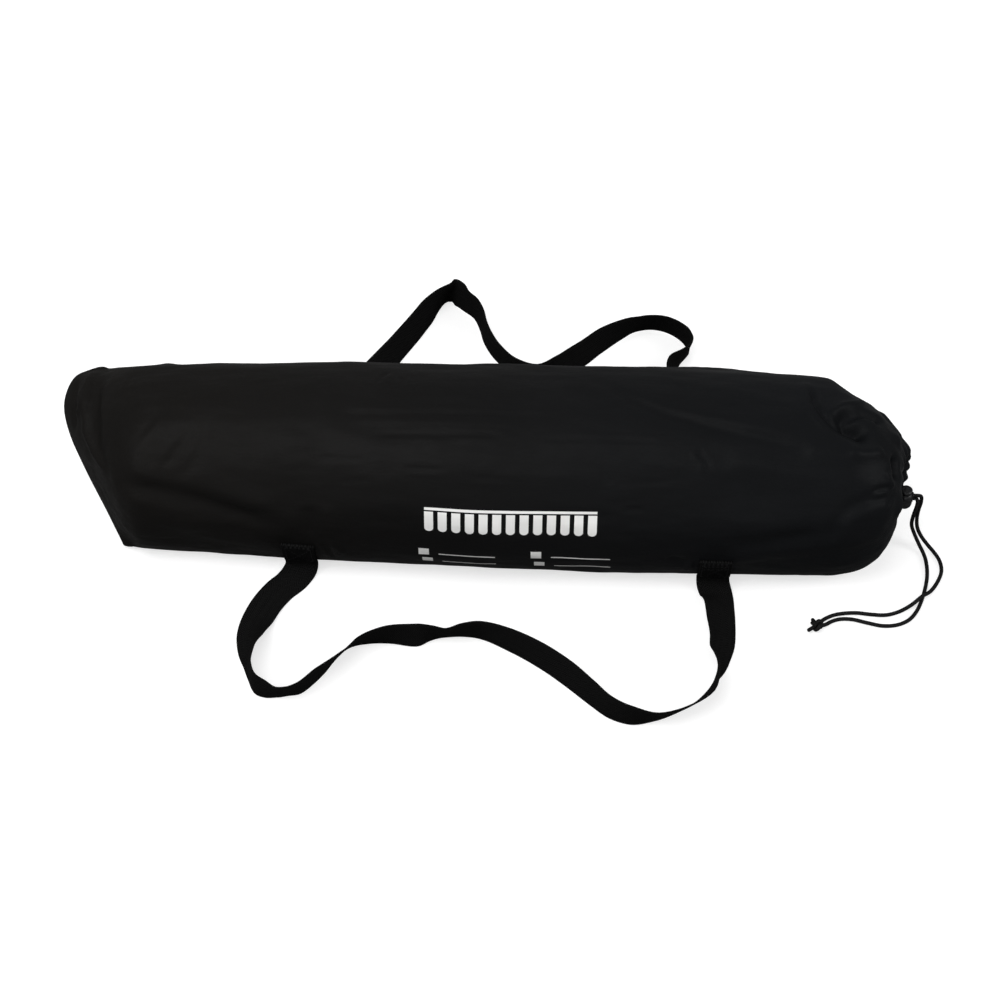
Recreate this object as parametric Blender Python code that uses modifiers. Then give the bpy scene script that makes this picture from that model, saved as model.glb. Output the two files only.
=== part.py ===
"""Vehicle side awning, packed in its drawstring carry bag.

The bag lies on the floor, with its closed end to the left (-X) and its drawn mouth to the right (+X).
Two webbing handles lie on the floor in front of it (-Y) and behind it (+Y). Inside are the rolled
awning, two folding poles, pegs, guy ropes and suction cups. The origin is on the floor, in the middle
of the bag's flat underside.
"""

import math

import bmesh
import bpy
from mathutils import Matrix, Vector

MM = 0.001
FIT = 0.3 * MM                      # clearance between pieces that touch

# Folding poles: two poles of four sections, one pole on the other
POLE_RADIUS = 8.0 * MM
POLE_WALL = 0.8 * MM
POLE_LENGTH = 470.0 * MM
FERRULE = 35.0 * MM
POLE_LEFT = -252.0 * MM
POLE_SECTIONS = 4
POLES = 2
POLE_GAP = 0.6 * MM
POLE_MIDDLE_Y = 5.0 * MM
POLE_LIFT = 1.2 * MM                # over the cloth of the underside
TIP_RADIUS = 3.9 * MM
TIP_LENGTH = 20.0 * MM
PLUG_LENGTH = 9.0 * MM
FOOT_RADIUS = 7.0 * MM
FOOT_LENGTH = 16.0 * MM
SHOCK_CORD = 1.5 * MM               # radius

# Rolled awning and the straps round it
ROLL_RADIUS = 42.0 * MM
ROLL_CORE = 4.0 * MM
ROLL_TURNS = 5
ROLL_GAP = 0.5 * MM
ROLL_LEFT = -250.0 * MM
ROLL_LENGTH = 500.0 * MM
STRAP_WIDTH = 20.0 * MM
STRAP_THICK = 1.5 * MM
STRAPS_AT = (-150.0 * MM, 150.0 * MM)

# The full section of the bag runs from a little before the poles to a little past the roll or the poles
ROOM_LEFT = 6.0 * MM
ROOM_RIGHT = 2.0 * MM
POLES_PAST = 1.0 * MM               # the poles, which lie low, reach this far into the drawn end
LOAD_LEFT = POLE_LEFT - ROOM_LEFT
LOAD_RIGHT = max(ROLL_LEFT + ROLL_LENGTH + ROOM_RIGHT, POLE_LEFT + POLE_LENGTH + FERRULE - POLES_PAST)

# Bag cloth and its cross-sections
CLOTH = 0.8 * MM
BAG_FLAT_FRONT = 30.0 * MM          # the underside lies flat from here
BAG_FLAT_REAR = 40.0 * MM           # to here
BAG_WAIST = 62.0 * MM               # height where the bag is widest
BAG_CROWN_Y = 8.0 * MM              # the ridge of the load inside
BAG_SECTIONS = (                    # station, reach to the front, reach to the rear, height
    (LOAD_LEFT, 57 * MM, 77 * MM, 123.5 * MM),
    (-190 * MM, 61 * MM, 79 * MM, 129 * MM),
    (-121 * MM, 65 * MM, 83 * MM, 132 * MM),
    (0 * MM, 70 * MM, 87 * MM, 133 * MM),
    (110 * MM, 68 * MM, 88 * MM, 134 * MM),
    (190 * MM, 67 * MM, 89 * MM, 134 * MM),
    (LOAD_RIGHT, 64 * MM, 86 * MM, 130 * MM),
)
HANDLE_BAYS = ((-150 * MM, -121 * MM), (162 * MM, 190 * MM))    # stations either side of the sewn ends
BAG_STATIONS = (
    LOAD_LEFT, (LOAD_LEFT - 190 * MM) / 2, -190 * MM, *HANDLE_BAYS[0], -60 * MM, 0 * MM, 60 * MM, 112 * MM,
    *HANDLE_BAYS[1], (HANDLE_BAYS[1][1] + LOAD_RIGHT) / 2, LOAD_RIGHT,
)

# Closed end: the seam runs from a corner on the floor, up and back to the rear corner (mm, past the load)
SEAM = (
    (-16.5, -36.5, 3.2), (-30, -21, 28), (-46, 0, 48), (-61.5, 26, 66), (-65, 42, 79),
    (-58, 60, 88), (-42, 68, 90),
)
SEAM_THICK = 5.0 * MM
SEAM_ROWS = 5
CORNER_FRONT = 28.0                 # where the seam's corners fall on a section, in degrees
CORNER_REAR = 42.0

# Drawn end: the cloth closes on the mouth in a soft dome with pleats
MOUTH = Vector((LOAD_RIGHT + 57 * MM, 9.5 * MM, 56 * MM))
HEM_RING = 9.5 * MM                 # radius of the drawn hem, to the middle of the cord
HEM_RADIUS = 3.4 * MM
HEM_BORE = 2.0 * MM
HEM_GAP_AT = 210.0                  # the hem is open here, in degrees from +Y over +Z
HEM_GAP = 45.0
DOME = (                            # share of the section left, past the load; more at the rear, less at the
    (0.985, 16, 0, 9, 0), (0.93, 32, 1, 18, 0), (0.85, 43, 3, 21, 0),      # shoulder, more at the lip (mm)
    (0.74, 51, 5, 15, 1), (0.6, 57, 8, 12.5, 3), (0.43, 60, 12, 7, 3.5), (0.28, 60, 11, 0, -1.5),
)
SHOULDER = 41.0                     # where the drawn end slopes most, in degrees from +Y over +Z
LIP = 259.0                         # and where cloth gathers under the cord lock
PLEATS = 12
PLEAT_DEPTH = 1.4 * MM

# Webbing handles
WEBBING_WIDTH = 25.0 * MM
WEBBING_THICK = 1.3 * MM
SEWN_LIFT = FIT + 0.1 * MM          # of a sewn end over the cloth
SEWN_GAP = 2 * FIT                  # between a sewn end and the loop that hangs from it
FLOOR_GAP = 0.2 * MM                # under the webbing
FRONT_SEWN = (40.4, 52.8, 65.2, 74.5)    # where the sewn ends lie on the section, in degrees
REAR_SEWN = (45.0, 60.0, 75.0, 80.0)
# Edge that lies on the floor (mm), the way the other edge leans (degrees from +X), how steeply (degrees)
FRONT_HANDLE = (
    (-148.5, -53, 5, 0, 0), (-154, -60, 1.2, 346, 0), (-162, -68, 1, 336, 0), (-169.5, -81, 1, 332, 2),
    (-175.5, -98, 1, 342, 6), (-178, -115, 1, 355, 20), (-176, -131, 1, 10, 38), (-170, -146, 1, 20, 66),
    (-164, -160, 1, 30, 84), (-158, -171, 1, 40, 88), (-149, -174, 1, 265, 84), (-141, -173, 1, 262, 70),
    (-134, -171, 1, 262, 66), (-126, -169, 1, 275, 72), (-117, -160, 1, 300, 77), (-108.5, -147.5, 1, 320, 70),
    (-101, -133, 1, 318, 60), (-93, -125, 1, 300, 63), (-80, -121, 1, 280, 72), (-64, -120, 1, 270, 84),
    (-44, -122, 1, 90, 86), (-33, -116, 1, 270, 78), (-22, -112, 1, 270, 66), (-10, -111, 1, 265, 74),
    (4, -113, 1, 260, 84), (26, -124, 1, 60, 84), (48, -138, 1, 50, 78), (68, -154, 1, 50, 76),
    (86, -170, 1, 50, 80), (100, -181, 1, 60, 86), (116, -186, 1, 270, 86), (132, -182, 1, 290, 66),
    (150, -173, 1, 310, 60), (166, -161, 1, 325, 62), (178, -144, 1, 335, 88), (187, -128, 1, 180, 54),
    (192, -111, 1, 180, 39), (193, -93, 1, 180, 28), (192.5, -76, 1, 180, 22), (191.5, -63, 1.2, 180, 4),
    (189, -55, 5, 180, 0),
)
REAR_HANDLE = (
    (-123, 75, 5, 180, 0), (-119, 84, 1.2, 172, 0), (-112, 97, 1, 162, 14), (-101.5, 119, 1, 155, 32),
    (-89, 145, 1, 154, 56), (-76, 173, 1, 154, 69), (-63, 198, 1, 152, 71), (-56, 214, 1, 112, 69),
    (-50, 231, 1, 60, 84), (-43.5, 243, 1, 10, 65), (-35.5, 240, 1, 0, 70), (-26.5, 232, 1, 335, 80),
    (-18.5, 223.5, 1, 340, 84), (-13, 210, 1, 0, 84), (-9.5, 197, 1, 0, 85), (-3, 183, 1, 0, 88),
    (5, 172, 1, 270, 86), (18, 159, 1, 270, 83), (36, 152, 1, 270, 84), (52, 156, 1, 100, 81),
    (64, 164, 1, 110, 75), (75, 174, 1, 130, 76), (89, 190, 1, 130, 80), (106, 207, 1, 270, 84),
    (117, 215.5, 1, 270, 73), (127.5, 218, 1, 270, 73), (139, 216, 1, 275, 75), (148.5, 210.5, 1, 290, 73),
    (155.5, 203, 1, 295, 68), (159, 196.5, 1, 280, 64), (157.5, 189, 1, 278, 64), (152.5, 178, 1, 262, 71),
    (148, 164, 1, 194, 76), (146.5, 150, 1, 182, 78), (149, 133, 1, 25, 62), (155, 113, 1, 25, 32),
    (160, 96, 1, 15, 10), (163, 84, 1.2, 5, 0), (163.5, 75, 5, 0, 0),
)

# Drawstring, cord lock and knot
CORD = 1.5 * MM                     # radius
LOCK = MOUTH + Vector((10.5 * MM, -8.0 * MM, -8.5 * MM))
LOCK_RADIUS = 5.6 * MM
LOCK_BORE = 3.9 * MM
LOCK_WALL = 0.9 * MM
LOCK_TRAVEL = 2.0 * MM              # of the button
LOCK_SLIDE = 1.5 * MM               # of the lock along the cords
BUTTON_CAP = 1.8 * MM
SPRING_WIRE = 0.25 * MM             # radius
SPRING_TURNS = 3
CORD_PITCH = 2 * CORD + FIT
LEFT_TAIL = (                       # along the bag from the lock, across it, over the floor (mm)
    (9.8, 0.5, 44), (9.2, -1.8, 38.8), (7.7, -4, 32), (7.5, -5.2, 23), (10.5, -6.6, 14.5),
    (14.9, -9.8, 6), (18.9, -17, 1.7), (20.2, -28, 1.7), (19.5, -40, 1.7), (17.2, -51, 1.7),
    (14.1, -61.5, 1.7), (9.5, -72.5, 1.7), (3.2, -81, 1.7), (-5.5, -86, 1.7), (-16.5, -87.5, 1.7),
    (-28.5, -85, 1.7), (-39.5, -82.3, 1.7), (-48.5, -82.6, 1.7), (-55, -85, 1.7), (-59.7, -89, 2.4),
)
RIGHT_TAIL = (
    (11.8, 2.1, 47.9), (12.8, 1.9, 42.6), (11.6, 0, 34), (11.3, -2, 25.5), (12.8, -4, 17.5),
    (16.5, -6, 10.5), (22, -8.8, 4), (26.7, -14, 1.7), (30.5, -23, 1.7), (30.9, -33, 1.7),
    (27.1, -43.5, 1.7), (21, -53.5, 2.6), (14.1, -60.6, 5.2), (6, -67.5, 3.2),
    (-3.5, -73.3, 1.7), (-13.5, -77, 1.7), (-24.5, -77, 1.7), (-35.5, -76, 1.7), (-44.5, -76.8, 1.7),
    (-52.5, -78.8, 1.7), (-59, -82.5, 1.8), (-62.7, -85.6, 2.4),
)
KNOT = Vector((LOCK.x - 66 * MM, -91.5 * MM, 4.9 * MM))
KNOT_SIZE = (5.6 * MM, 4.9 * MM, 4.6 * MM)
KNOT_END = 7.0 * MM

# Pegs, guy ropes with runners, and suction cups
PEG_RADIUS = 2.5 * MM
PEG_LENGTH = 180.0 * MM
PEG_HOOK = 8.0 * MM                 # radius of its hook
PEG_LEFT = -88.0 * MM
PEG_FIRST_Y = -54.5 * MM
PEG_PITCH = 6.0 * MM
PEG_Z = 32.0 * MM
PEGS = 4
HANK_LENGTH = 110.0 * MM
HANK_HEIGHT = 28.0 * MM
HANK_THICK = 14.0 * MM
HANKS = ((-175 * MM, -44.5 * MM, 51 * MM), (160 * MM, -44.5 * MM, 51 * MM),
         (-30 * MM, 68 * MM, 54 * MM), (95 * MM, 68 * MM, 54 * MM))
RUNNER_LENGTH = 44.0 * MM
RUNNER_HEIGHT = 13.0 * MM
RUNNER_THICK = 2.5 * MM
RUNNER_HOLE = 2.2 * MM
RUNNER_Y = 79.5 * MM
RUNNERS = ((-60 * MM, 62 * MM), (0 * MM, 62 * MM), (60 * MM, 62 * MM), (120 * MM, 62 * MM))
CUPS_AT = (-185.0 * MM, -115.0 * MM)
CUP_Y = 52.3 * MM                   # the face of the rubber pad
CUP_Z = 66.0 * MM
CUP_RADIUS = 30.0 * MM
CUP_DEPTH = 8.0 * MM
CUP_STEM = 4.0 * MM                 # radius
CAP_RADIUS = 17.0 * MM
CAP_DEPTH = 8.0 * MM
KNOB_RADIUS = 9.0 * MM
KNOB_DEPTH = 6.5 * MM
KNOB_LOBES = 6

# Facets
RING = 36                           # points round the bag, half of them over the top
ROUND = 12
LOCK_ROUND = 16
RIBBON_STEPS = 2
CORD_STEPS = 2


def clear_scene():
    for obj in list(bpy.data.objects):
        bpy.data.objects.remove(obj, do_unlink=True)


def collection(name):
    made = bpy.data.collections.new(name)
    bpy.context.scene.collection.children.link(made)
    return made


def linear(channel):
    channel /= 255.0
    return channel / 12.92 if channel <= 0.04045 else ((channel + 0.055) / 1.055) ** 2.4


def material(name, colour, roughness, metallic=0.0):
    made = bpy.data.materials.new(name)
    made.use_nodes = True
    shader = made.node_tree.nodes["Principled BSDF"]
    rgb = [linear(int(colour[i:i + 2], 16)) for i in (0, 2, 4)]
    shader.inputs["Base Color"].default_value = (*rgb, 1.0)
    shader.inputs["Roughness"].default_value = roughness
    shader.inputs["Metallic"].default_value = metallic
    made.diffuse_color = (*rgb, 1.0)
    return made


def keep(name, data, finish, group):
    """Puts a mesh or curve in the scene as one named piece."""
    obj = bpy.data.objects.new(name, data)
    data.materials.append(finish)
    group.objects.link(obj)
    return obj


def mesh_of(name, bm, sharp=40.0):
    """Turns a bmesh into a mesh with smooth round faces and sharp edges."""
    mesh = bpy.data.meshes.new(name)
    bm.to_mesh(mesh)
    bm.free()
    mesh.shade_smooth()
    mesh.set_sharp_from_angle(angle=math.radians(sharp))
    return mesh


def smooth_route(points, steps):
    """Points of a smooth curve through the given ones, evenly shared between them."""
    route = []
    last = len(points) - 1
    for i in range(last):
        before, start = points[max(i - 1, 0)], points[i]
        end, after = points[i + 1], points[min(i + 2, last)]
        gaps = [max((b - a).length, 1e-6) ** 0.5 for a, b in ((before, start), (start, end), (end, after))]
        if i == 0:
            gaps[0] = gaps[1]
        if i + 1 == last:
            gaps[2] = gaps[1]
        leave = (end - start) + gaps[1] * ((start - before) / gaps[0] - (end - before) / (gaps[0] + gaps[1]))
        reach = (end - start) + gaps[1] * ((after - end) / gaps[2] - (after - start) / (gaps[1] + gaps[2]))
        if i == 0:
            leave = end - start
        if i + 1 == last:
            reach = end - start
        for k in range(steps):
            t = k / steps
            route.append(start * (2 * t ** 3 - 3 * t ** 2 + 1) + leave * (t ** 3 - 2 * t ** 2 + t)
                         + end * (-2 * t ** 3 + 3 * t ** 2) + reach * (t ** 3 - t ** 2))
    route.append(points[-1].copy())
    return route


def tube(name, points, radius, finish, group, sides=2):
    """A round wire or cord along the points, with closed ends."""
    curve = bpy.data.curves.new(name, "CURVE")
    curve.dimensions = "3D"
    curve.bevel_depth = radius
    curve.bevel_resolution = sides
    curve.use_fill_caps = True
    spline = curve.splines.new("POLY")
    spline.points.add(len(points) - 1)
    for point, place in zip(spline.points, points):
        point.co = (*place, 1.0)
    return keep(name, curve, finish, group)


def as_mesh(obj, sharp=40.0):
    """The same piece as a mesh, with its caps joined on, so that it can be cut or joined."""
    graph = bpy.context.evaluated_depsgraph_get()
    mesh = bpy.data.meshes.new_from_object(obj.evaluated_get(graph))
    bm = bmesh.new()
    bm.from_mesh(mesh)
    bmesh.ops.remove_doubles(bm, verts=bm.verts, dist=0.00001)
    bmesh.ops.recalc_face_normals(bm, faces=bm.faces)
    bpy.data.meshes.remove(mesh)
    name, finish, group = obj.name, obj.active_material, obj.users_collection[0]
    place = obj.matrix_world.copy()
    bpy.data.objects.remove(obj, do_unlink=True)
    made = keep(name, mesh_of(name, bm, sharp), finish, group)
    made.matrix_world = place
    return made


def turned(name, profile, place, finish, group, steps=ROUND):
    """A turned piece: the profile, as (radius, height) from top to bottom, spun round its own Z."""
    mesh = bpy.data.meshes.new(name)
    mesh.from_pydata([(r, 0.0, z) for r, z in profile], [(i, i + 1) for i in range(len(profile) - 1)], [])
    obj = keep(name, mesh, finish, group)
    obj.matrix_world = place
    spin = obj.modifiers.new("Spin", "SCREW")
    spin.steps = steps
    spin.render_steps = steps
    spin.use_merge_vertices = True
    spin.merge_threshold = 0.00001
    spin.use_smooth_shade = True
    return obj


def cut(obj, cutter, operation="DIFFERENCE"):
    """Cuts a piece with another, or joins it on."""
    step = obj.modifiers.new("Cut", "BOOLEAN")
    step.operation = operation
    step.object = cutter
    step.solver = "EXACT"
    cutter.hide_render = True
    cutter.display_type = "WIRE"


def along(axis, centre, side=Vector((0, 1, 0))):
    """A placing whose Z runs along the axis and whose Y runs as near the side as it can."""
    z = axis.normalized()
    x = side.cross(z).normalized()
    y = z.cross(x)
    turn = Matrix((x, y, z)).transposed().to_4x4()
    return Matrix.Translation(centre) @ turn


def box(name, size, place, group):
    bm = bmesh.new()
    bmesh.ops.create_cube(bm, size=1.0)
    bmesh.ops.scale(bm, vec=size, verts=bm.verts)
    mesh = mesh_of(name, bm)
    obj = bpy.data.objects.new(name, mesh)
    obj.matrix_world = place
    group.objects.link(obj)
    return obj


def flat_piece(name, outlines, thick, place, finish, group):
    """A flat piece with the given outlines, the first one outside and the rest as holes."""
    curve = bpy.data.curves.new(name, "CURVE")
    curve.dimensions = "2D"
    curve.fill_mode = "BOTH"
    curve.extrude = thick / 2
    for outline in outlines:
        spline = curve.splines.new("POLY")
        spline.points.add(len(outline) - 1)
        spline.use_cyclic_u = True
        for point, (x, y) in zip(spline.points, outline):
            point.co = (x, y, 0.0, 1.0)
    obj = keep(name, curve, finish, group)
    obj.matrix_world = place
    return as_mesh(obj)


def circle(radius, centre=(0.0, 0.0), start=0.0, end=360.0, steps=ROUND):
    whole = abs(end - start) >= 360.0
    count = steps if whole else steps + 1
    angles = [math.radians(start + (end - start) * i / steps) for i in range(count)]
    return [(centre[0] + radius * math.cos(a), centre[1] + radius * math.sin(a)) for a in angles]


def bag_dims(x):
    """Reach to the front and rear, and height, of the bag's section at a station."""
    rows = BAG_SECTIONS
    if x <= rows[0][0]:
        return rows[0][1:]
    for low, high in zip(rows, rows[1:]):
        if x <= high[0]:
            t = (x - low[0]) / (high[0] - low[0])
            t = t * t * (3 - 2 * t)
            return tuple(a + (b - a) * t for a, b in zip(low[1:], high[1:]))
    return rows[-1][1:]


def bag_angles():
    """Where the points of a section lie: a part of the outline, and an angle in it or a share of it."""
    places = [("front_low", CORNER_FRONT + (90 - CORNER_FRONT) * i / 5) for i in range(5)]
    places += [("front_top", 90.0 * i / 9) for i in range(9)]
    places += [("rear_top", CORNER_REAR * i / 4) for i in range(4)]
    places += [("rear_top", CORNER_REAR + (90 - CORNER_REAR) * i / 4) for i in range(4)]
    places += [("rear_low", 90.0 - 15.0 * i) for i in range(6)]
    places += [("under", i / 5) for i in range(5)]
    places += [("front_low", CORNER_FRONT * i / 3) for i in range(3)]
    return places


def bag_point(x, part, where):
    """A point of the bag's outer face at a station."""
    front, rear, height = bag_dims(x)
    rise = height - BAG_WAIST
    if part == "under":
        return Vector((x, BAG_FLAT_REAR - (BAG_FLAT_REAR + BAG_FLAT_FRONT) * where, 0.0))
    s, c = math.sin(math.radians(where)), math.cos(math.radians(where))
    if part == "front_low":
        return Vector((x, -BAG_FLAT_FRONT - (front - BAG_FLAT_FRONT) * s, BAG_WAIST * (1 - c)))
    if part == "front_top":
        return Vector((x, BAG_CROWN_Y - (front + BAG_CROWN_Y) * c, BAG_WAIST + rise * s))
    if part == "rear_top":
        return Vector((x, BAG_CROWN_Y + (rear - BAG_CROWN_Y) * s, BAG_WAIST + rise * c))
    return Vector((x, BAG_FLAT_REAR + (rear - BAG_FLAT_REAR) * s, BAG_WAIST * (1 - c)))


def bag_ring(x):
    return [bag_point(x, part, where) for part, where in bag_angles()]


def seam_ring():
    """The closed end: one layer of the seam over the other, from corner to corner and back."""
    half = RING // 2
    line = smooth_route([Vector((LOAD_LEFT, 0, 0)) + Vector(p) * MM for p in SEAM], 6)
    spots = [line[round(i * (len(line) - 1) / half)] for i in range(half + 1)]
    over, under = [], []
    for i, spot in enumerate(spots):
        run = (spots[min(i + 1, half)] - spots[max(i - 1, 0)]).normalized()
        up = Vector((1, 0, 0)).cross(run).normalized()
        over.append(spot + up * SEAM_THICK / 2)
        under.append(spot - up * SEAM_THICK / 2)
    over[0] = spots[0] - (spots[1] - spots[0]).normalized() * SEAM_THICK / 4
    over[-1] = spots[-1] + (spots[-1] - spots[-2]).normalized() * SEAM_THICK / 4
    return over + under[-2:0:-1]


def dome_ring(share, past, rear_more, shoulder_less, lip_more, pleat):
    """A ring of the drawn end: the last section, shrunk about the mouth."""
    last = bag_ring(BAG_STATIONS[-1])
    ring = []
    for i, point in enumerate(last):
        out = Vector((0.0, point.y - MOUTH.y, point.z - MOUTH.z))
        turn = math.atan2(out.z, out.y)
        rear = (0.5 + 0.5 * math.cos(turn)) ** 1.5
        shoulder = max(math.cos(turn - math.radians(SHOULDER)), 0.0) ** 3
        lip = max(math.cos(turn - math.radians(LIP)), 0.0) ** 6
        fold = math.cos(2 * math.pi * PLEATS * i / RING)
        station = LOAD_RIGHT + past + rear_more * rear - shoulder_less * shoulder + lip_more * lip + pleat * fold
        ring.append(Vector((station, MOUTH.y, MOUTH.z)) + out * share)
    return ring


def mouth_ring():
    """The cloth's edge, round the outside of the drawn hem."""
    last = bag_ring(BAG_STATIONS[-1])
    radius = HEM_RING + HEM_RADIUS + FIT + CLOTH
    ring = []
    for point in last:
        out = Vector((0.0, point.y - MOUTH.y, point.z - MOUTH.z)).normalized()
        ring.append(MOUTH + out * radius + Vector((-0.5 * MM, 0, 0)))
    return ring


def make_bag(finish, group):
    """The bag: a loft of sections, closed at the seam and open at the mouth, with the cloth's thickness."""
    rings = []
    first = bag_ring(BAG_STATIONS[0])
    end = seam_ring()
    for row in range(SEAM_ROWS, 0, -1):
        share = row / SEAM_ROWS
        ring = []
        for a, b in zip(first, end):
            point = a.lerp(b, share ** 1.3)
            point.x = a.x + (b.x - a.x) * share
            ring.append(point)
        rings.append(ring)
    rings += [bag_ring(x) for x in BAG_STATIONS]
    for k, (share, *shifts) in enumerate(DOME):
        rings.append(dome_ring(share, *(shift * MM for shift in shifts), PLEAT_DEPTH * min(k, 4) / 4))
    rings.append(mouth_ring())
    bm = bmesh.new()
    rows = [[bm.verts.new(p) for p in ring] for ring in rings]
    for low, high in zip(rows, rows[1:]):
        for i in range(RING):
            j = (i + 1) % RING
            bm.faces.new((low[i], high[i], high[j], low[j]))
    half = RING // 2
    seam = rows[0]
    bm.faces.new((seam[0], seam[1], seam[-1]))
    for i in range(1, half - 1):
        bm.faces.new((seam[i], seam[i + 1], seam[RING - i - 1], seam[RING - i]))
    bm.faces.new((seam[half - 1], seam[half], seam[half + 1]))
    bag = keep("bag_body", mesh_of("bag_body", bm, 60.0), finish, group)
    wall = bag.modifiers.new("Cloth", "SOLIDIFY")
    wall.thickness = CLOTH
    wall.offset = -1.0
    wall.use_even_offset = False
    return bag


def make_hem(finish, group):
    """The drawn hem: a tube of cloth round the mouth, open where the cord leaves it."""
    start = HEM_GAP_AT + HEM_GAP
    sweep = 360.0 - 2 * HEM_GAP
    steps = 18
    points = []
    for i in range(steps + 1):
        a = math.radians(start + sweep * i / steps)
        points.append(MOUTH + Vector((0.0, math.cos(a), math.sin(a))) * HEM_RING)
    hem = tube("mouth_hem", points, HEM_RADIUS, finish, group)
    hem.data.use_fill_caps = False
    hem = as_mesh(hem)
    wall = hem.modifiers.new("Cloth", "SOLIDIFY")
    wall.thickness = HEM_RADIUS - HEM_BORE
    wall.offset = -1.0
    return hem


def on_bag(bay, part, angle, x):
    """A point of the bag's outer face in a handle's bay, and the way the face looks there."""
    low, high = (bag_facet(station, part, angle) for station in bay)
    share = (x - bay[0]) / (bay[1] - bay[0])
    spot = low[0].lerp(high[0], share)
    along_bag = (high[0] - low[0]).normalized()
    down = low[1].lerp(high[1], share).normalized()
    out = along_bag.cross(down).normalized()
    if out.y * (-1 if part == "front_low" else 1) < 0:
        out.negate()
    return spot, out, down


def bag_facet(x, part, angle):
    """A point on the flats between the points of a section, and the way down along the flat."""
    step = (90 - CORNER_FRONT) / 5 if part == "front_low" else 15.0
    first = CORNER_FRONT if part == "front_low" else 0.0
    place = (angle - first) / step
    low = first + step * min(math.floor(place + 0.001), math.ceil(90 / step) - 1)
    low = min(low, 90.0 - step)
    a, b = bag_point(x, part, low), bag_point(x, part, low + step)
    return a.lerp(b, (angle - low) / step), (a - b).normalized()


def handle_rows(stations, part, angles):
    """A handle's middle line and the way across it, from one sewn end to the other."""
    rows = []
    for x, y, z, toward, lean in stations:
        toward, lean = math.radians(toward), math.radians(lean)
        across = Vector((math.cos(lean) * math.cos(toward), math.cos(lean) * math.sin(toward), math.sin(lean)))
        rows.append((Vector((x, y, z)) * MM + across * WEBBING_WIDTH / 2, across))
    for bay, where in zip(HANDLE_BAYS, (0, len(rows) + 2)):
        spot, out, down = on_bag(bay, part, angles[0], (bay[0] + bay[1]) / 2)
        across = Vector((1 if rows[0 if where == 0 else -1][1].x > 0 else -1, 0, 0))
        top = spot + out * (SEWN_LIFT + WEBBING_THICK / 2) + down * SEWN_GAP
        pair = [(top, across), (top + down * 3 * MM, across)]
        rows[where:where] = pair if where == 0 else pair[::-1]
    return rows


def handle_axis(part, angles):
    """The line a handle swings about, as its middle point: under its sewn ends, on the outside."""
    spots = []
    for bay in HANDLE_BAYS:
        spot, out, down = on_bag(bay, part, angles[0], (bay[0] + bay[1]) / 2)
        spots.append(spot + out * (SEWN_LIFT + WEBBING_THICK) + down * SEWN_GAP / 2)
    outermost = max(spots, key=lambda spot: abs(spot.y))
    return Vector(((spots[0].x + spots[1].x) / 2, outermost.y, outermost.z))


def ribbon(name, stations, part, angles, finish, group):
    """A webbing strap through the stations: an open strip with the webbing's thickness."""
    rows = handle_rows(stations, part, angles)
    origin = handle_axis(part, angles)
    middle = smooth_route([r[0] for r in rows], RIBBON_STEPS)
    leans = smooth_route([r[1] for r in rows], RIBBON_STEPS)
    bm = bmesh.new()
    edges = []
    for i, (spot, across) in enumerate(zip(middle, leans)):
        run = (middle[min(i + 1, len(middle) - 1)] - middle[max(i - 1, 0)]).normalized()
        across = (across - run * across.dot(run)).normalized()
        face = run.cross(across)
        low = spot.z - abs(across.z) * WEBBING_WIDTH / 2 - abs(face.z) * WEBBING_THICK / 2
        spot = spot + Vector((0, 0, max(FLOOR_GAP - low, 0.0)))
        edges.append([bm.verts.new(spot - origin + across * WEBBING_WIDTH * side) for side in (-0.5, 0.5)])
    for a, b in zip(edges, edges[1:]):
        bm.faces.new((a[0], a[1], b[1], b[0]))
    strap = keep(name, mesh_of(name, bm), finish, group)
    strap.location = origin
    wall = strap.modifiers.new("Webbing", "SOLIDIFY")
    wall.thickness = WEBBING_THICK
    wall.offset = 0.0
    wall.use_even_offset = False
    return strap


def sewn_end(name, bay, part, angles, finish, group):
    """The end of a handle, sewn flat on the bag: it follows the cloth between two of its sections."""
    middle = (bay[0] + bay[1]) / 2
    sides = (middle - WEBBING_WIDTH / 2, middle + WEBBING_WIDTH / 2)
    bm = bmesh.new()
    rows = []
    for k, angle in enumerate(angles):
        row = []
        for x in sides:
            spot, out, down = on_bag(bay, part, angle, x)
            before = on_bag(bay, part, angle - 1.0, x)[1]
            out = (out + before).normalized() if k else out
            row.append(bm.verts.new(spot + out * SEWN_LIFT))
        rows.append(row)
    for a, b in zip(rows, rows[1:]):
        bm.faces.new((a[0], a[1], b[1], b[0]))
    outwards = Vector((0, -1 if part == "front_low" else 1, 0))
    for face in bm.faces:
        face.normal_update()
        if face.normal.dot(outwards) < 0:
            face.normal_flip()
    end = keep(name, mesh_of(name, bm), finish, group)
    wall = end.modifiers.new("Webbing", "SOLIDIFY")
    wall.thickness = WEBBING_THICK
    wall.offset = 1.0
    wall.use_even_offset = False
    return end


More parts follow.
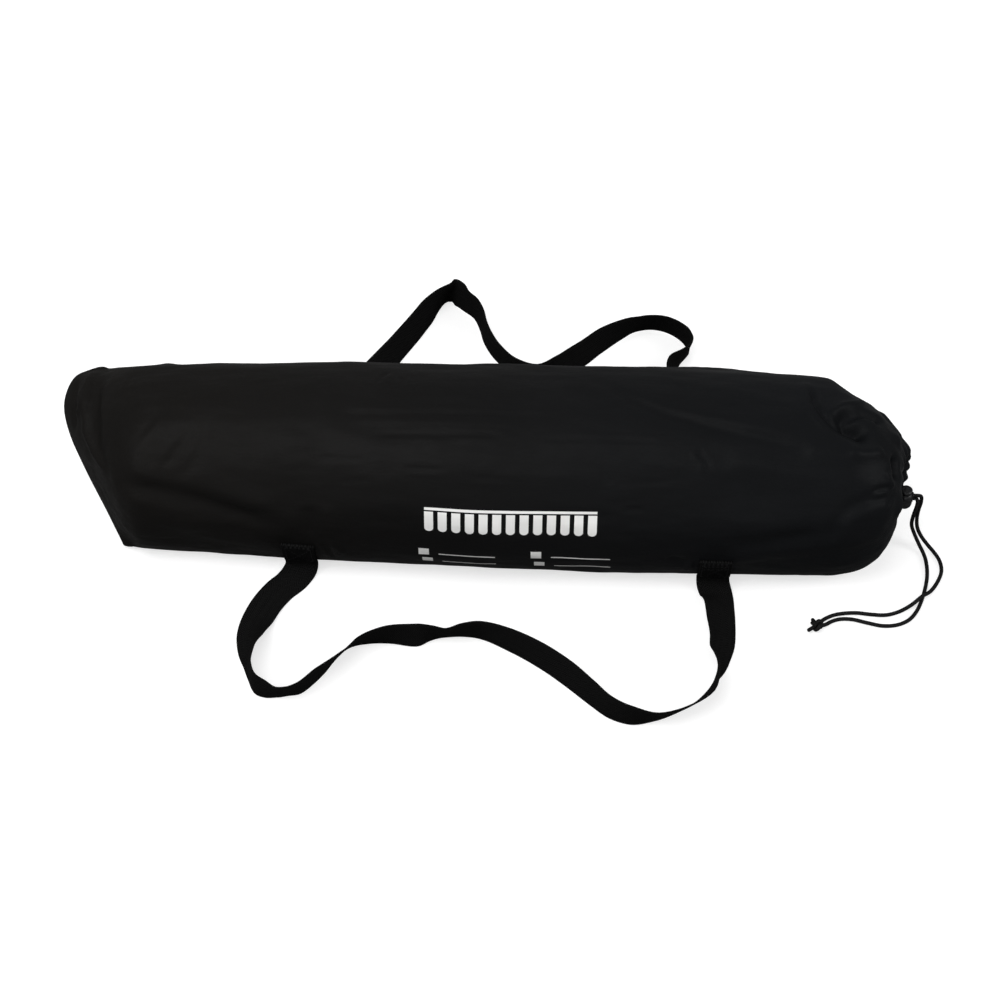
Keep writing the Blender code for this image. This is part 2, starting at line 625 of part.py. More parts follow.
def make_lock(finish, button_finish, steel, group, cutters):
    """The cord lock: a barrel with a cross slot for the cords, a sprung button and its spring."""
    place = Matrix.Translation(LOCK)
    half_slot = CORD_PITCH / 2 + CORD + FIT / 2
    slot_wide = 2 * CORD + 2 * FIT
    top = half_slot + 1.3 * MM
    button_low = -half_slot - LOCK_WALL
    spring_room = SPRING_TURNS * 2 * SPRING_WIRE + LOCK_TRAVEL + 4 * SPRING_WIRE
    floor = button_low - FIT - spring_room
    bottom = floor - LOCK_WALL
    body = turned("cord_lock_body", (
        (0, top), (LOCK_RADIUS * 0.8, top), (LOCK_RADIUS, top - 1.6 * MM), (LOCK_RADIUS, bottom + 3.2 * MM),
        (LOCK_RADIUS * 0.82, bottom + 0.9 * MM), (LOCK_RADIUS * 0.5, bottom), (0, bottom)),
        place, finish, group, LOCK_ROUND)
    bore = turned("lock_bore", ((0, top + 2 * MM), (LOCK_BORE, top + 2 * MM), (LOCK_BORE, floor), (0, floor)),
                  place, finish, cutters, LOCK_ROUND)
    slot = box("lock_slot", (4 * LOCK_RADIUS, slot_wide, 2 * half_slot), place, cutters)
    cut(body, bore)
    cut(body, slot)
    stem = LOCK_BORE - FIT
    cap_low = top + LOCK_TRAVEL + FIT
    cap_high = cap_low + BUTTON_CAP
    button = turned("cord_lock_button", (
        (0, cap_high), (LOCK_RADIUS * 0.5, cap_high - 0.2 * MM), (LOCK_RADIUS * 0.86, cap_high - BUTTON_CAP / 2),
        (LOCK_RADIUS * 0.86, cap_low), (stem, cap_low), (stem, button_low), (0, button_low)),
        place, button_finish, group, LOCK_ROUND)
    window_high = half_slot + LOCK_TRAVEL
    middle = (window_high - half_slot) / 2
    window = box("button_window", (4 * LOCK_RADIUS, slot_wide, window_high + half_slot),
                 place @ Matrix.Translation((0, 0, middle)), cutters)
    cut(button, window)
    coil = LOCK_BORE - FIT - 3 * SPRING_WIRE
    points = []
    steps = 8
    rise = spring_room - 2 * SPRING_WIRE - FIT
    for i in range(SPRING_TURNS * steps + 1):
        a = 2 * math.pi * i / steps
        z = floor + SPRING_WIRE + FIT / 2 + rise * i / (SPRING_TURNS * steps)
        points.append(place @ Vector((coil * math.cos(a), coil * math.sin(a), z)))
    tube("cord_lock_spring", points, SPRING_WIRE, steel, group, sides=1)


def make_drawstring(finish, group):
    """The drawstring: once round the mouth inside its hem, then both ends through the lock."""
    run, up = Vector((1, 0, 0)), Vector((0, 0, 1))
    before, after = LOCK_RADIUS + 0.6 * MM, LOCK_RADIUS + LOCK_SLIDE + 0.4 * MM
    start = HEM_GAP_AT + HEM_GAP
    sweep = 360.0 - 2 * HEM_GAP
    ring = []
    steps = 14
    for i in range(steps + 1):
        a = math.radians(start + sweep * i / steps)
        ring.append(MOUTH + Vector((0.0, math.cos(a), math.sin(a))) * HEM_RING)
    upper, lower = LOCK + up * CORD_PITCH / 2, LOCK - up * CORD_PITCH / 2

    def bend(end, heading, goal):
        """The way from the hem's end to the lock, turning out of the hem's plane."""
        first, last = end + heading * 2.2 * MM, goal - run * 3.0 * MM
        middle = first.lerp(last, 0.5) + (heading - run) * 0.7 * MM
        return smooth_route([end, first, middle, last], 2) + [goal]

    a = math.radians(start)
    into_low = Vector((0, math.sin(a), -math.cos(a)))
    a = math.radians(start + sweep)
    into_high = Vector((0, -math.sin(a), math.cos(a)))
    low_in, high_in = lower - run * before, upper - run * before
    path = [lower + run * after, lower] + bend(ring[0], into_low, low_in)[::-1]
    path += ring[1:-1] + bend(ring[-1], into_high, high_in) + [upper, upper + run * after]
    tube("drawstring_loop", path, CORD, finish, group)
    for name, tail in (("drawstring_tail_left", LEFT_TAIL), ("drawstring_tail_right", RIGHT_TAIL)):
        line = [Vector((LOCK.x, 0, 0)) + Vector(p) * MM for p in tail]
        origin = (lower if "left" in name else upper) + run * (after + FIT)
        line = [origin] + smooth_route([origin + run * 0.8 * MM] + line, CORD_STEPS)
        for point in line:
            point.z = max(point.z, CORD + FIT / 2)
        tube(name, line, CORD, finish, group)


def make_knot(finish, group, cutters):
    """The knot that joins the two tails, with their cut ends standing out of it."""
    bm = bmesh.new()
    bmesh.ops.create_uvsphere(bm, u_segments=12, v_segments=8, radius=1.0)
    bmesh.ops.scale(bm, vec=KNOT_SIZE, verts=bm.verts)
    knot = keep("drawstring_knot", mesh_of("drawstring_knot", bm), finish, group)
    knot.matrix_world = Matrix.Translation(KNOT) @ Matrix.Rotation(math.radians(40), 4, "Z")
    for i, way in enumerate((Vector((-0.83, -0.55, -0.15)), Vector((-0.46, 0.88, -0.15)))):
        way.normalize()
        reach = KNOT_SIZE[0] + KNOT_END * (0.45 if i == 0 else 0.3)
        end = tube(f"knot_end_{i}", [KNOT + way * 1.5 * MM, KNOT + way * reach], CORD, finish, cutters)
        cut(knot, as_mesh(end), "UNION")
    return knot


def pole_places():
    """Middle of each pole section, as (pole, section, y, z)."""
    pitch = 2 * POLE_RADIUS + POLE_GAP
    low = CLOTH + POLE_LIFT + POLE_RADIUS
    for pole in range(POLES):
        for section in range(POLE_SECTIONS):
            y = POLE_MIDDLE_Y + (section - (POLE_SECTIONS - 1) / 2) * pitch
            yield pole, section, y, low + pole * pitch


def make_poles(steel, rubber, cord_finish, group):
    """Two folded poles: tubes with a swaged ferrule, joined by a shock cord, with a tip and a foot."""
    inner = POLE_RADIUS - POLE_WALL
    neck = inner - FIT
    length = POLE_LENGTH + FERRULE
    right = POLE_LEFT + length
    rows = {}
    for pole, section, y, z in pole_places():
        rows.setdefault(pole, []).append((y, z))
        faces_left = section % 2 == 0
        start = Vector((POLE_LEFT if faces_left else right, y, z))
        heading = Vector((1, 0, 0)) if faces_left else Vector((-1, 0, 0))
        last = section == POLE_SECTIONS - 1
        profile = [(neck, 0.0), (neck, FERRULE - 2 * MM), (POLE_RADIUS, FERRULE + 1 * MM),
                   (POLE_RADIUS, length), (inner, length), (inner, FERRULE + 3 * MM),
                   (neck - POLE_WALL, FERRULE), (neck - POLE_WALL, 0.0), (neck, 0.0)]
        if last:
            profile = [(POLE_RADIUS, 0.0), (POLE_RADIUS, length), (inner, length), (inner, 0.0),
                       (POLE_RADIUS, 0.0)]
        profile = [(r, z) for r, z in reversed(profile)]
        turned(f"pole_{pole + 1}_section_{section + 1}", profile, along(heading, start), steel, group)
    for pole, spots in rows.items():
        tip_at, foot_at = spots[0], spots[-1]
        tip = turned(f"pole_{pole + 1}_tip", (
            (0, TIP_LENGTH), (TIP_RADIUS * 0.6, TIP_LENGTH), (TIP_RADIUS, TIP_LENGTH - 3 * MM),
            (TIP_RADIUS, 3 * MM), (POLE_RADIUS - FIT, 2 * MM), (POLE_RADIUS - FIT, FIT), (neck, FIT),
            (neck, -PLUG_LENGTH), (0, -PLUG_LENGTH)),
            along(Vector((1, 0, 0)), Vector((right, *tip_at))), steel, group)
        foot = turned(f"pole_{pole + 1}_foot", (
            (0, FOOT_LENGTH), (FOOT_RADIUS - 1.5 * MM, FOOT_LENGTH), (FOOT_RADIUS, FOOT_LENGTH - 2 * MM),
            (FOOT_RADIUS - 0.6 * MM, 2 * MM), (FOOT_RADIUS, FIT), (neck, FIT), (neck, -PLUG_LENGTH),
            (0, -PLUG_LENGTH)),
            along(Vector((1, 0, 0)), Vector((right, *foot_at))), rubber, group)
        shock_cord(pole, spots, right, cord_finish, group)


def shock_cord(pole, spots, right, finish, group):
    """The elastic cord inside a pole: from its tip, through every section, to its foot."""
    turn = (2 * POLE_RADIUS + POLE_GAP) / 2
    inset = PLUG_LENGTH + FIT
    path = []
    for section, (y, z) in enumerate(spots):
        to_left = section % 2 == 0
        near, far = (right, POLE_LEFT) if to_left else (POLE_LEFT, right)
        if section == 0:
            near -= inset
        if section == POLE_SECTIONS - 1:
            far -= inset
        path += [Vector((near, y, z)), Vector((far, y, z))]
        if section == POLE_SECTIONS - 1:
            break
        side = -1 if to_left else 1
        for k in range(1, 6):
            a = math.pi * k / 6
            path.append(Vector((far + side * turn * math.sin(a), y + turn * (1 - math.cos(a)), z)))
    tube(f"pole_{pole + 1}_shock_cord", path, SHOCK_CORD, finish, group)


def roll_middle():
    stack = CLOTH + POLE_LIFT + POLES * (2 * POLE_RADIUS + POLE_GAP)
    return Vector((ROLL_LEFT + ROLL_LENGTH / 2, BAG_CROWN_Y, stack + STRAP_THICK + FIT + ROLL_RADIUS))


def make_roll(cloth, webbing, group):
    """The awning sheet, folded to its width and rolled up: one layer wound on itself, and two straps."""
    pitch = (ROLL_RADIUS - ROLL_CORE) / ROLL_TURNS
    layer = pitch - ROLL_GAP
    steps = 18
    outer, inner = [], []
    for i in range(ROLL_TURNS * steps + 1):
        a = 2 * math.pi * i / steps
        r = ROLL_CORE + pitch * i / steps
        inner.append((r * math.cos(a), r * math.sin(a)))
        outer.append(((r + layer) * math.cos(a), (r + layer) * math.sin(a)))
    middle = roll_middle()
    shrink = ROLL_RADIUS / (ROLL_RADIUS + layer)
    outline = [(x * shrink, y * shrink) for x, y in outer + inner[::-1]]
    roll = flat_piece("awning_roll", [outline], ROLL_LENGTH, along(Vector((1, 0, 0)), middle), cloth, group)
    for side, x in zip(("left", "right"), STRAPS_AT):
        low, high = ROLL_RADIUS + FIT, ROLL_RADIUS + FIT + STRAP_THICK
        half = STRAP_WIDTH / 2
        turned(f"roll_strap_{side}", ((high, half), (high, -half), (low, -half), (low, half), (high, half)),
               along(Vector((1, 0, 0)), Vector((x, middle.y, middle.z))), webbing, group, steps=18)
    return roll


def make_pegs(steel, group):
    """Ground pegs: a straight pin with a hook at one end, side by side in the front of the bag."""
    for i in range(PEGS):
        y = PEG_FIRST_Y + PEG_PITCH * i
        point = PEG_LEFT + PEG_LENGTH
        path = [Vector((point, y, PEG_Z)), Vector((PEG_LEFT, y, PEG_Z))]
        for k in range(1, 7):
            a = math.pi * 1.15 * k / 6
            path.append(Vector((PEG_LEFT - PEG_HOOK * math.sin(a), y, PEG_Z + PEG_HOOK * (1 - math.cos(a)))))
        tube(f"peg_{i + 1}", path, PEG_RADIUS, steel, group)


def stadium(length, height, steps=6):
    """A long outline with round ends."""
    r = height / 2
    reach = length / 2 - r
    return (circle(r, (reach, 0), -90, 90, steps) + circle(r, (-reach, 0), 90, 270, steps))


def make_ropes(rope, plastic, group):
    """Guy ropes put away as hanks, and the runners that tighten them."""
    across = Vector((0, -1, 0))
    for i, spot in enumerate(HANKS):
        place = along(across, Vector(spot), Vector((0, 0, 1)))
        hank = flat_piece(f"guy_rope_{i + 1}", [stadium(HANK_LENGTH, HANK_HEIGHT)], HANK_THICK, place, rope, group)
        soft = hank.modifiers.new("Soft", "BEVEL")
        soft.width = 5 * MM
        soft.segments = 1
        soft.limit_method = "ANGLE"
    for i, (x, z) in enumerate(RUNNERS):
        place = along(across, Vector((x, RUNNER_Y, z)), Vector((0, 0, 1)))
        third = RUNNER_LENGTH / 2 - RUNNER_HEIGHT / 2
        holes = [circle(RUNNER_HOLE, (k * third, 0), steps=6) for k in (-1, 0, 1)]
        flat_piece(f"rope_runner_{i + 1}", [stadium(RUNNER_LENGTH, RUNNER_HEIGHT)] + holes,
                   RUNNER_THICK, place, plastic, group)


def make_cups(rubber, plastic, group, cutters):
    """Suction cups: a hollow rubber pad, the cap over it and a lobed knob that draws the pad tight."""
    for i, x in enumerate(CUPS_AT):
        place = along(Vector((0, 1, 0)), Vector((x, CUP_Y, CUP_Z)), Vector((0, 0, 1)))
        turned(f"suction_cup_{i + 1}_pad", (
            (0, CUP_DEPTH), (CUP_STEM + 4 * MM, CUP_DEPTH), (CAP_RADIUS, CUP_DEPTH - 2 * MM),
            (CUP_RADIUS - 1 * MM, 1.6 * MM), (CUP_RADIUS, 0), (CUP_RADIUS - 3 * MM, 0),
            (CAP_RADIUS, 3 * MM), (0, 4 * MM)), place, rubber, group, steps=18)
        low = CUP_DEPTH + FIT
        high = low + CAP_DEPTH
        turned(f"suction_cup_{i + 1}_cap", (
            (0, high), (KNOB_RADIUS + 2 * MM, high), (CAP_RADIUS - 1.5 * MM, high - 3 * MM),
            (CAP_RADIUS, low + 1.5 * MM), (CAP_RADIUS - 1 * MM, low), (0, low)), place, plastic, group, steps=18)
        base = high + FIT
        lobes = []
        for k in range(KNOB_LOBES * 4):
            a = 2 * math.pi * k / (KNOB_LOBES * 4)
            r = KNOB_RADIUS - 0.9 * MM + 0.9 * MM * math.cos(KNOB_LOBES * a)
            lobes.append((r * math.cos(a), r * math.sin(a)))
        knob = flat_piece(f"suction_cup_{i + 1}_knob", [lobes], KNOB_DEPTH,
                          place @ Matrix.Translation((0, 0, base + KNOB_DEPTH / 2)), plastic, group)
        edge = knob.modifiers.new("Edge", "BEVEL")
        edge.width = 0.8 * MM
        edge.segments = 1
        edge.limit_method = "ANGLE"
        edge.angle_limit = math.radians(50)


def main():
    clear_scene()
    awning = collection("vehicle_side_awning")
    cutters = collection("cutters")
    cloth = material("coated_nylon", "202122", 0.62)
    webbing = material("webbing", "141415", 0.8)
    cord = material("black_cord", "161618", 0.75)
    plastic = material("black_plastic", "1B1C1E", 0.38)
    rubber = material("black_rubber", "1C1C1C", 0.7)
    steel = material("zinc_plated_steel", "B4B6B8", 0.32, 1.0)
    rope = material("guy_rope", "2E2F31", 0.8)
    make_bag(cloth, awning)
    make_hem(cloth, awning)
    ribbon("front_handle_loop", FRONT_HANDLE, "front_low", FRONT_SEWN, webbing, awning)
    ribbon("rear_handle_loop", REAR_HANDLE, "rear_low", REAR_SEWN, webbing, awning)
    for side, bay in zip(("left", "right"), HANDLE_BAYS):
        sewn_end(f"front_handle_{side}_end", bay, "front_low", FRONT_SEWN, webbing, awning)
        sewn_end(f"rear_handle_{side}_end", bay, "rear_low", REAR_SEWN, webbing, awning)
    make_drawstring(cord, awning)
    make_lock(plastic, plastic, steel, awning, cutters)
    make_knot(cord, awning, cutters)
    make_poles(steel, rubber, cord, awning)
    make_roll(cloth, webbing, awning)
    make_pegs(steel, awning)
    make_ropes(rope, plastic, awning)
    make_cups(rubber, plastic, awning, cutters)


main()
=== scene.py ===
"""Looks of a vehicle side awning, packed in its drawstring carry bag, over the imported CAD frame."""

import math

import bmesh
import bpy
import numpy as np
from bpy.props import FloatProperty, FloatVectorProperty, IntProperty, PointerProperty
from mathutils import Matrix, Vector, noise
from mathutils.bvhtree import BVHTree


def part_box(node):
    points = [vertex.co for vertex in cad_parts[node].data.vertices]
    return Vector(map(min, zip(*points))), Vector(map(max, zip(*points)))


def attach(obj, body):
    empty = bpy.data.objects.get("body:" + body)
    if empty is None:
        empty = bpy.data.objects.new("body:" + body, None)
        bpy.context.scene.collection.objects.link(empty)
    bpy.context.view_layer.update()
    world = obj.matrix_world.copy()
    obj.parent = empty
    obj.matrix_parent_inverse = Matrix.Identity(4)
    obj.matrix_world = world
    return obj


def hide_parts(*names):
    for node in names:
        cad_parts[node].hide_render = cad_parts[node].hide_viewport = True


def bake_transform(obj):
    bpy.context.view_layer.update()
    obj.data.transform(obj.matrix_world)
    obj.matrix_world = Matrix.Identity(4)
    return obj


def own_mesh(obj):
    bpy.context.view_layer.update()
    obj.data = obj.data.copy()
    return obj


bl_info = {
    "name": "Vehicle Side Awning",
    "version": (1, 0, 0),
    "blender": (4, 5, 0),
    "location": "View3D > Sidebar > Awning",
    "description": "Dresses a vehicle side awning packed in its carry bag",
    "category": "Object",
}

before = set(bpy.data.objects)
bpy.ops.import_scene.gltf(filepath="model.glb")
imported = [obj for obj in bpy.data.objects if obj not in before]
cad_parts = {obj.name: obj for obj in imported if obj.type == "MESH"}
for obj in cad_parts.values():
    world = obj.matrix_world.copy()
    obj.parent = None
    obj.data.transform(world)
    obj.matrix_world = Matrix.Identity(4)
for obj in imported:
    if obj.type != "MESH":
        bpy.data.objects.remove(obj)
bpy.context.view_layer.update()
MM = 0.001
CLOTH = {}  # the bag's outer face, once it is made, for what is sewn on it

# The photograph's frame and the focal length that fits it, in pixels
IMAGE = 1001
FOCAL = 2432.0
SENSOR = 36.0  # the width of the camera's sensor (mm)
AIM = (12.0, 25.0, 0.0)  # what the camera looks at (mm)

# The load's sections: station, reach to the front, reach to the rear, height (mm)
SECTIONS = (
    (-258, 57, 77, 123.5), (-190, 61, 79, 129), (-121, 65, 83, 132), (0, 70, 87, 133), (110, 68, 88, 134),
    (190, 67, 89, 134), (252, 64, 86, 130),
)
# Between which stations the handles' ends are sewn on, and all the stations with a ring (mm)
BAYS = ((-150, -121), (162, 190))
STATIONS = (-258, -226, -190, *BAYS[0], -60, 0, 60, 112, *BAYS[1], 222, 252)
# A section's flat part to the front and to the rear, its widest height and its top's place (mm)
FLAT_FRONT, FLAT_REAR, WAIST, CROWN = 30, 40, 62, 8
UNDERSIDE = 0.3  # the cloth's height above the floor that it lies on
HEART = (12, 60)  # a line along the inside of the bag: y and z (mm)
CORNER_FRONT, CORNER_REAR = 28, 42  # degrees
# The closed end's seam, from the floor to its top (mm)
SEAM = (
    (-274.5, -36.5, 3.2), (-288, -21, 28), (-304, 0, 48), (-319.5, 26, 66), (-323, 42, 79),
    (-316, 60, 88), (-300, 68, 90),
)
# The drawn end: share of the section left, station, more at the rear, less at the shoulder,
# more at the lip (mm)
DOME = (
    (0.985, 268, 0, 9, 0), (0.93, 284, 1, 18, 0), (0.85, 295, 3, 21, 0), (0.74, 303, 5, 15, 1),
    (0.6, 309, 8, 12.5, 3), (0.43, 312, 12, 7, 3.5), (0.28, 312, 11, 0, -1.5),
)
SHOULDER, LIP = 41, 259  # where they are round the mouth (degrees)
MOUTH = (309, 9.5, 56)
HEM_RING, HEM_RADIUS = 9.5, 3.4
HEM_GAP_AT, HEM_GAP = 210, 45  # middle and half of the gap that the cords leave through (degrees)
PLEATS = 15

# First and last angle of the handles' sewn ends, up from the underside (degrees)
FRONT_SEWN, REAR_SEWN = (40.4, 74.5), (45, 80)
# Handles: edge on the floor (mm), the way the other edge leans (degrees from +X), how steeply (degrees)
FRONT_HANDLE = (
    (-148.5, -53, 5, 0, 0), (-154, -60, 1.2, 346, 0), (-162, -68, 1, 336, 0), (-169.5, -81, 1, 332, 2),
    (-175.5, -98, 1, 342, 6), (-178, -115, 1, 355, 20), (-176, -131, 1, 10, 38), (-170, -146, 1, 20, 66),
    (-164, -160, 1, 30, 84), (-158, -171, 1, 40, 88), (-149, -174, 1, 265, 84), (-141, -173, 1, 262, 70),
    (-134, -171, 1, 262, 66), (-126, -169, 1, 275, 72), (-117, -160, 1, 300, 77),
    (-108.5, -147.5, 1, 320, 70), (-101, -133, 1, 318, 60), (-93, -125, 1, 300, 63),
    (-80, -121, 1, 280, 72), (-64, -120, 1, 270, 84), (-44, -122, 1, 90, 86), (-33, -116, 1, 270, 78),
    (-22, -112, 1, 270, 66), (-10, -111, 1, 265, 74), (4, -113, 1, 260, 84), (26, -124, 1, 60, 84),
    (48, -138, 1, 50, 78), (68, -154, 1, 50, 76), (86, -170, 1, 50, 80), (100, -181, 1, 60, 86),
    (116, -186, 1, 270, 86), (132, -182, 1, 290, 66), (150, -173, 1, 310, 60), (166, -161, 1, 325, 62),
    (178, -144, 1, 335, 88), (187, -128, 1, 180, 54), (192, -111, 1, 180, 39), (193, -93, 1, 180, 28),
    (192.5, -76, 1, 180, 22), (191.5, -63, 1.2, 180, 4), (189, -55, 5, 180, 0),
)
REAR_HANDLE = (
    (-123, 75, 5, 180, 0), (-119, 84, 1.2, 172, 0), (-112, 97, 1, 162, 14), (-101.5, 119, 1, 155, 32),
    (-89, 145, 1, 154, 56), (-76, 173, 1, 154, 69), (-63, 198, 1, 152, 71), (-56, 214, 1, 112, 69),
    (-50, 231, 1, 60, 84), (-43.5, 243, 1, 10, 65), (-35.5, 240, 1, 0, 70), (-26.5, 232, 1, 335, 80),
    (-18.5, 223.5, 1, 340, 84), (-13, 210, 1, 0, 84), (-9.5, 197, 1, 0, 85), (-3, 183, 1, 0, 88),
    (5, 172, 1, 270, 86), (18, 159, 1, 270, 83), (36, 152, 1, 270, 84), (52, 156, 1, 100, 81),
    (64, 164, 1, 110, 75), (75, 174, 1, 130, 76), (89, 190, 1, 130, 80), (106, 207, 1, 270, 84),
    (117, 215.5, 1, 270, 73), (127.5, 218, 1, 270, 73), (139, 216, 1, 275, 75),
    (148.5, 210.5, 1, 290, 73), (155.5, 203, 1, 295, 68), (159, 196.5, 1, 280, 64),
    (157.5, 189, 1, 278, 64), (152.5, 178, 1, 262, 71), (148, 164, 1, 194, 76), (146.5, 150, 1, 182, 78),
    (149, 133, 1, 25, 62), (155, 113, 1, 25, 32), (160, 96, 1, 15, 10), (163, 84, 1.2, 5, 0),
    (163.5, 75, 5, 0, 0),
)

# Stitched box: the share of the webbing's flat face that it spans, its top and foot along the sewn end
SEAM_SIDE, SEAM_TOP, SEAM_FOOT = 0.8, 0.1, 0.86
# Points across one flat face of the webbing's section, and round one of its edges
FACE_POINTS, EDGE_POINTS = 9, 3

# Print, on the cloth's own plane (mm): the valance's left, right, foot and head, its scallops and its band
VALANCE = (286.5, 416.5, 68.5, 90.0)
SCALLOP_PITCH, SCALLOP = 10.0, 6.6
BAND, BAND_GAP = 2.2, 3.4
# Tick boxes with blank lines: left, foot, the box's height and the line's length
TICKS = ((281.5, 39, 8.5, 42), (365, 40, 9, 44), (284, 26, 8, 40), (367.5, 26, 8, 42))
TICK_WIDTH, LINE_AT, LINE_FOOT, LINE_HEAD = 7.8, 15, 1, 2.4

# Cord lock, drawstring tails and knot (mm)
LOCK = (319.5, 1.5, 47.5)
LOCK_TOP, LOCK_BOTTOM = 4.6, -9.9  # from the middle of its openings
LOCK_BORE, LOCK_RADIUS = 3.75, 5.7
BUTTON_TOP = 56.2  # above the floor
# The button's post: where its legs begin, its radius, and how far from its middle their flat sides are
POST_FOOT, POST_RADIUS, LEG_FLAT = 5.35, 3.6, 1.75
SPRING_GAP = 0.3  # between the legs and the spring
CORD_PITCH = 3.3
TAIL_START = LOCK[0] + 7.8
LEFT_TAIL = (
    (329.3, 0.5, 44), (328.7, -1.8, 38.8), (327.2, -4, 32), (327, -5.2, 23), (330, -6.6, 14.5),
    (334.4, -9.8, 6), (338.4, -17, 1.7), (339.7, -28, 1.7), (339, -40, 1.7), (336.7, -51, 1.7),
    (333.6, -61.5, 1.7), (329, -72.5, 1.7), (322.7, -81, 1.7), (314, -86, 1.7), (303, -87.5, 1.7),
    (291, -85, 1.7), (280, -82.3, 1.7), (271, -82.6, 1.7), (265, -85, 1.7), (260.5, -88.4, 2.2),
    (257.6, -90.3, 3.2), (255.4, -91.2, 4.2),
)
RIGHT_TAIL = (
    (331.3, 2.1, 47.9), (332.3, 1.9, 42.6), (331.1, 0, 34), (330.8, -2, 25.5), (332.3, -4, 17.5),
    (336, -6, 10.5), (341.5, -8.8, 4), (346.2, -14, 1.7), (350, -23, 1.7), (350.4, -33, 1.7),
    (346.6, -43.5, 1.7), (340.5, -53.5, 2.6), (333.6, -60.6, 5.2), (325.5, -67.5, 3.2), (316, -73.3, 1.7),
    (306, -77, 1.7), (295, -77, 1.7), (284, -76, 1.7), (275, -76.8, 1.7), (267, -78.8, 1.7),
    (261.5, -81.8, 1.8), (258.2, -84.8, 2.6), (255.6, -88.4, 3.6),
)
KNOT = (253.5, -91.5, 4.9)

# The roll in the bag (mm): its hollow core, the room between it and its straps' outside, and its cloth
ROLL_CORE = 4.0
STRAP_ROOM = 1.8
SHEET_THICK = 0.25

# Lamps: name, place and what it points at (m), width and height (m), share of the lamp power
LAMPS = (
    ("lamp_main", (-0.5, -0.6, 1.8), (0, 0, 0.05), 1.4, 0.9, 1.35),
    ("lamp_left", (-1.5, -0.8, 1.2), (0, 0, 0.05), 0.9, 0.9, 0.6),
    ("lamp_right", (1.75, -0.3, 1.1), (0, 0, 0.05), 0.8, 1.0, 0.9),
    ("lamp_front", (0.1, -1.9, 0.6), (0, 0, 0.05), 1.6, 0.6, 0.25),
    ("lamp_back", (-0.2, 2.0, 0.9), (0, 0.05, 0.05), 1.8, 0.7, 1.5),
)

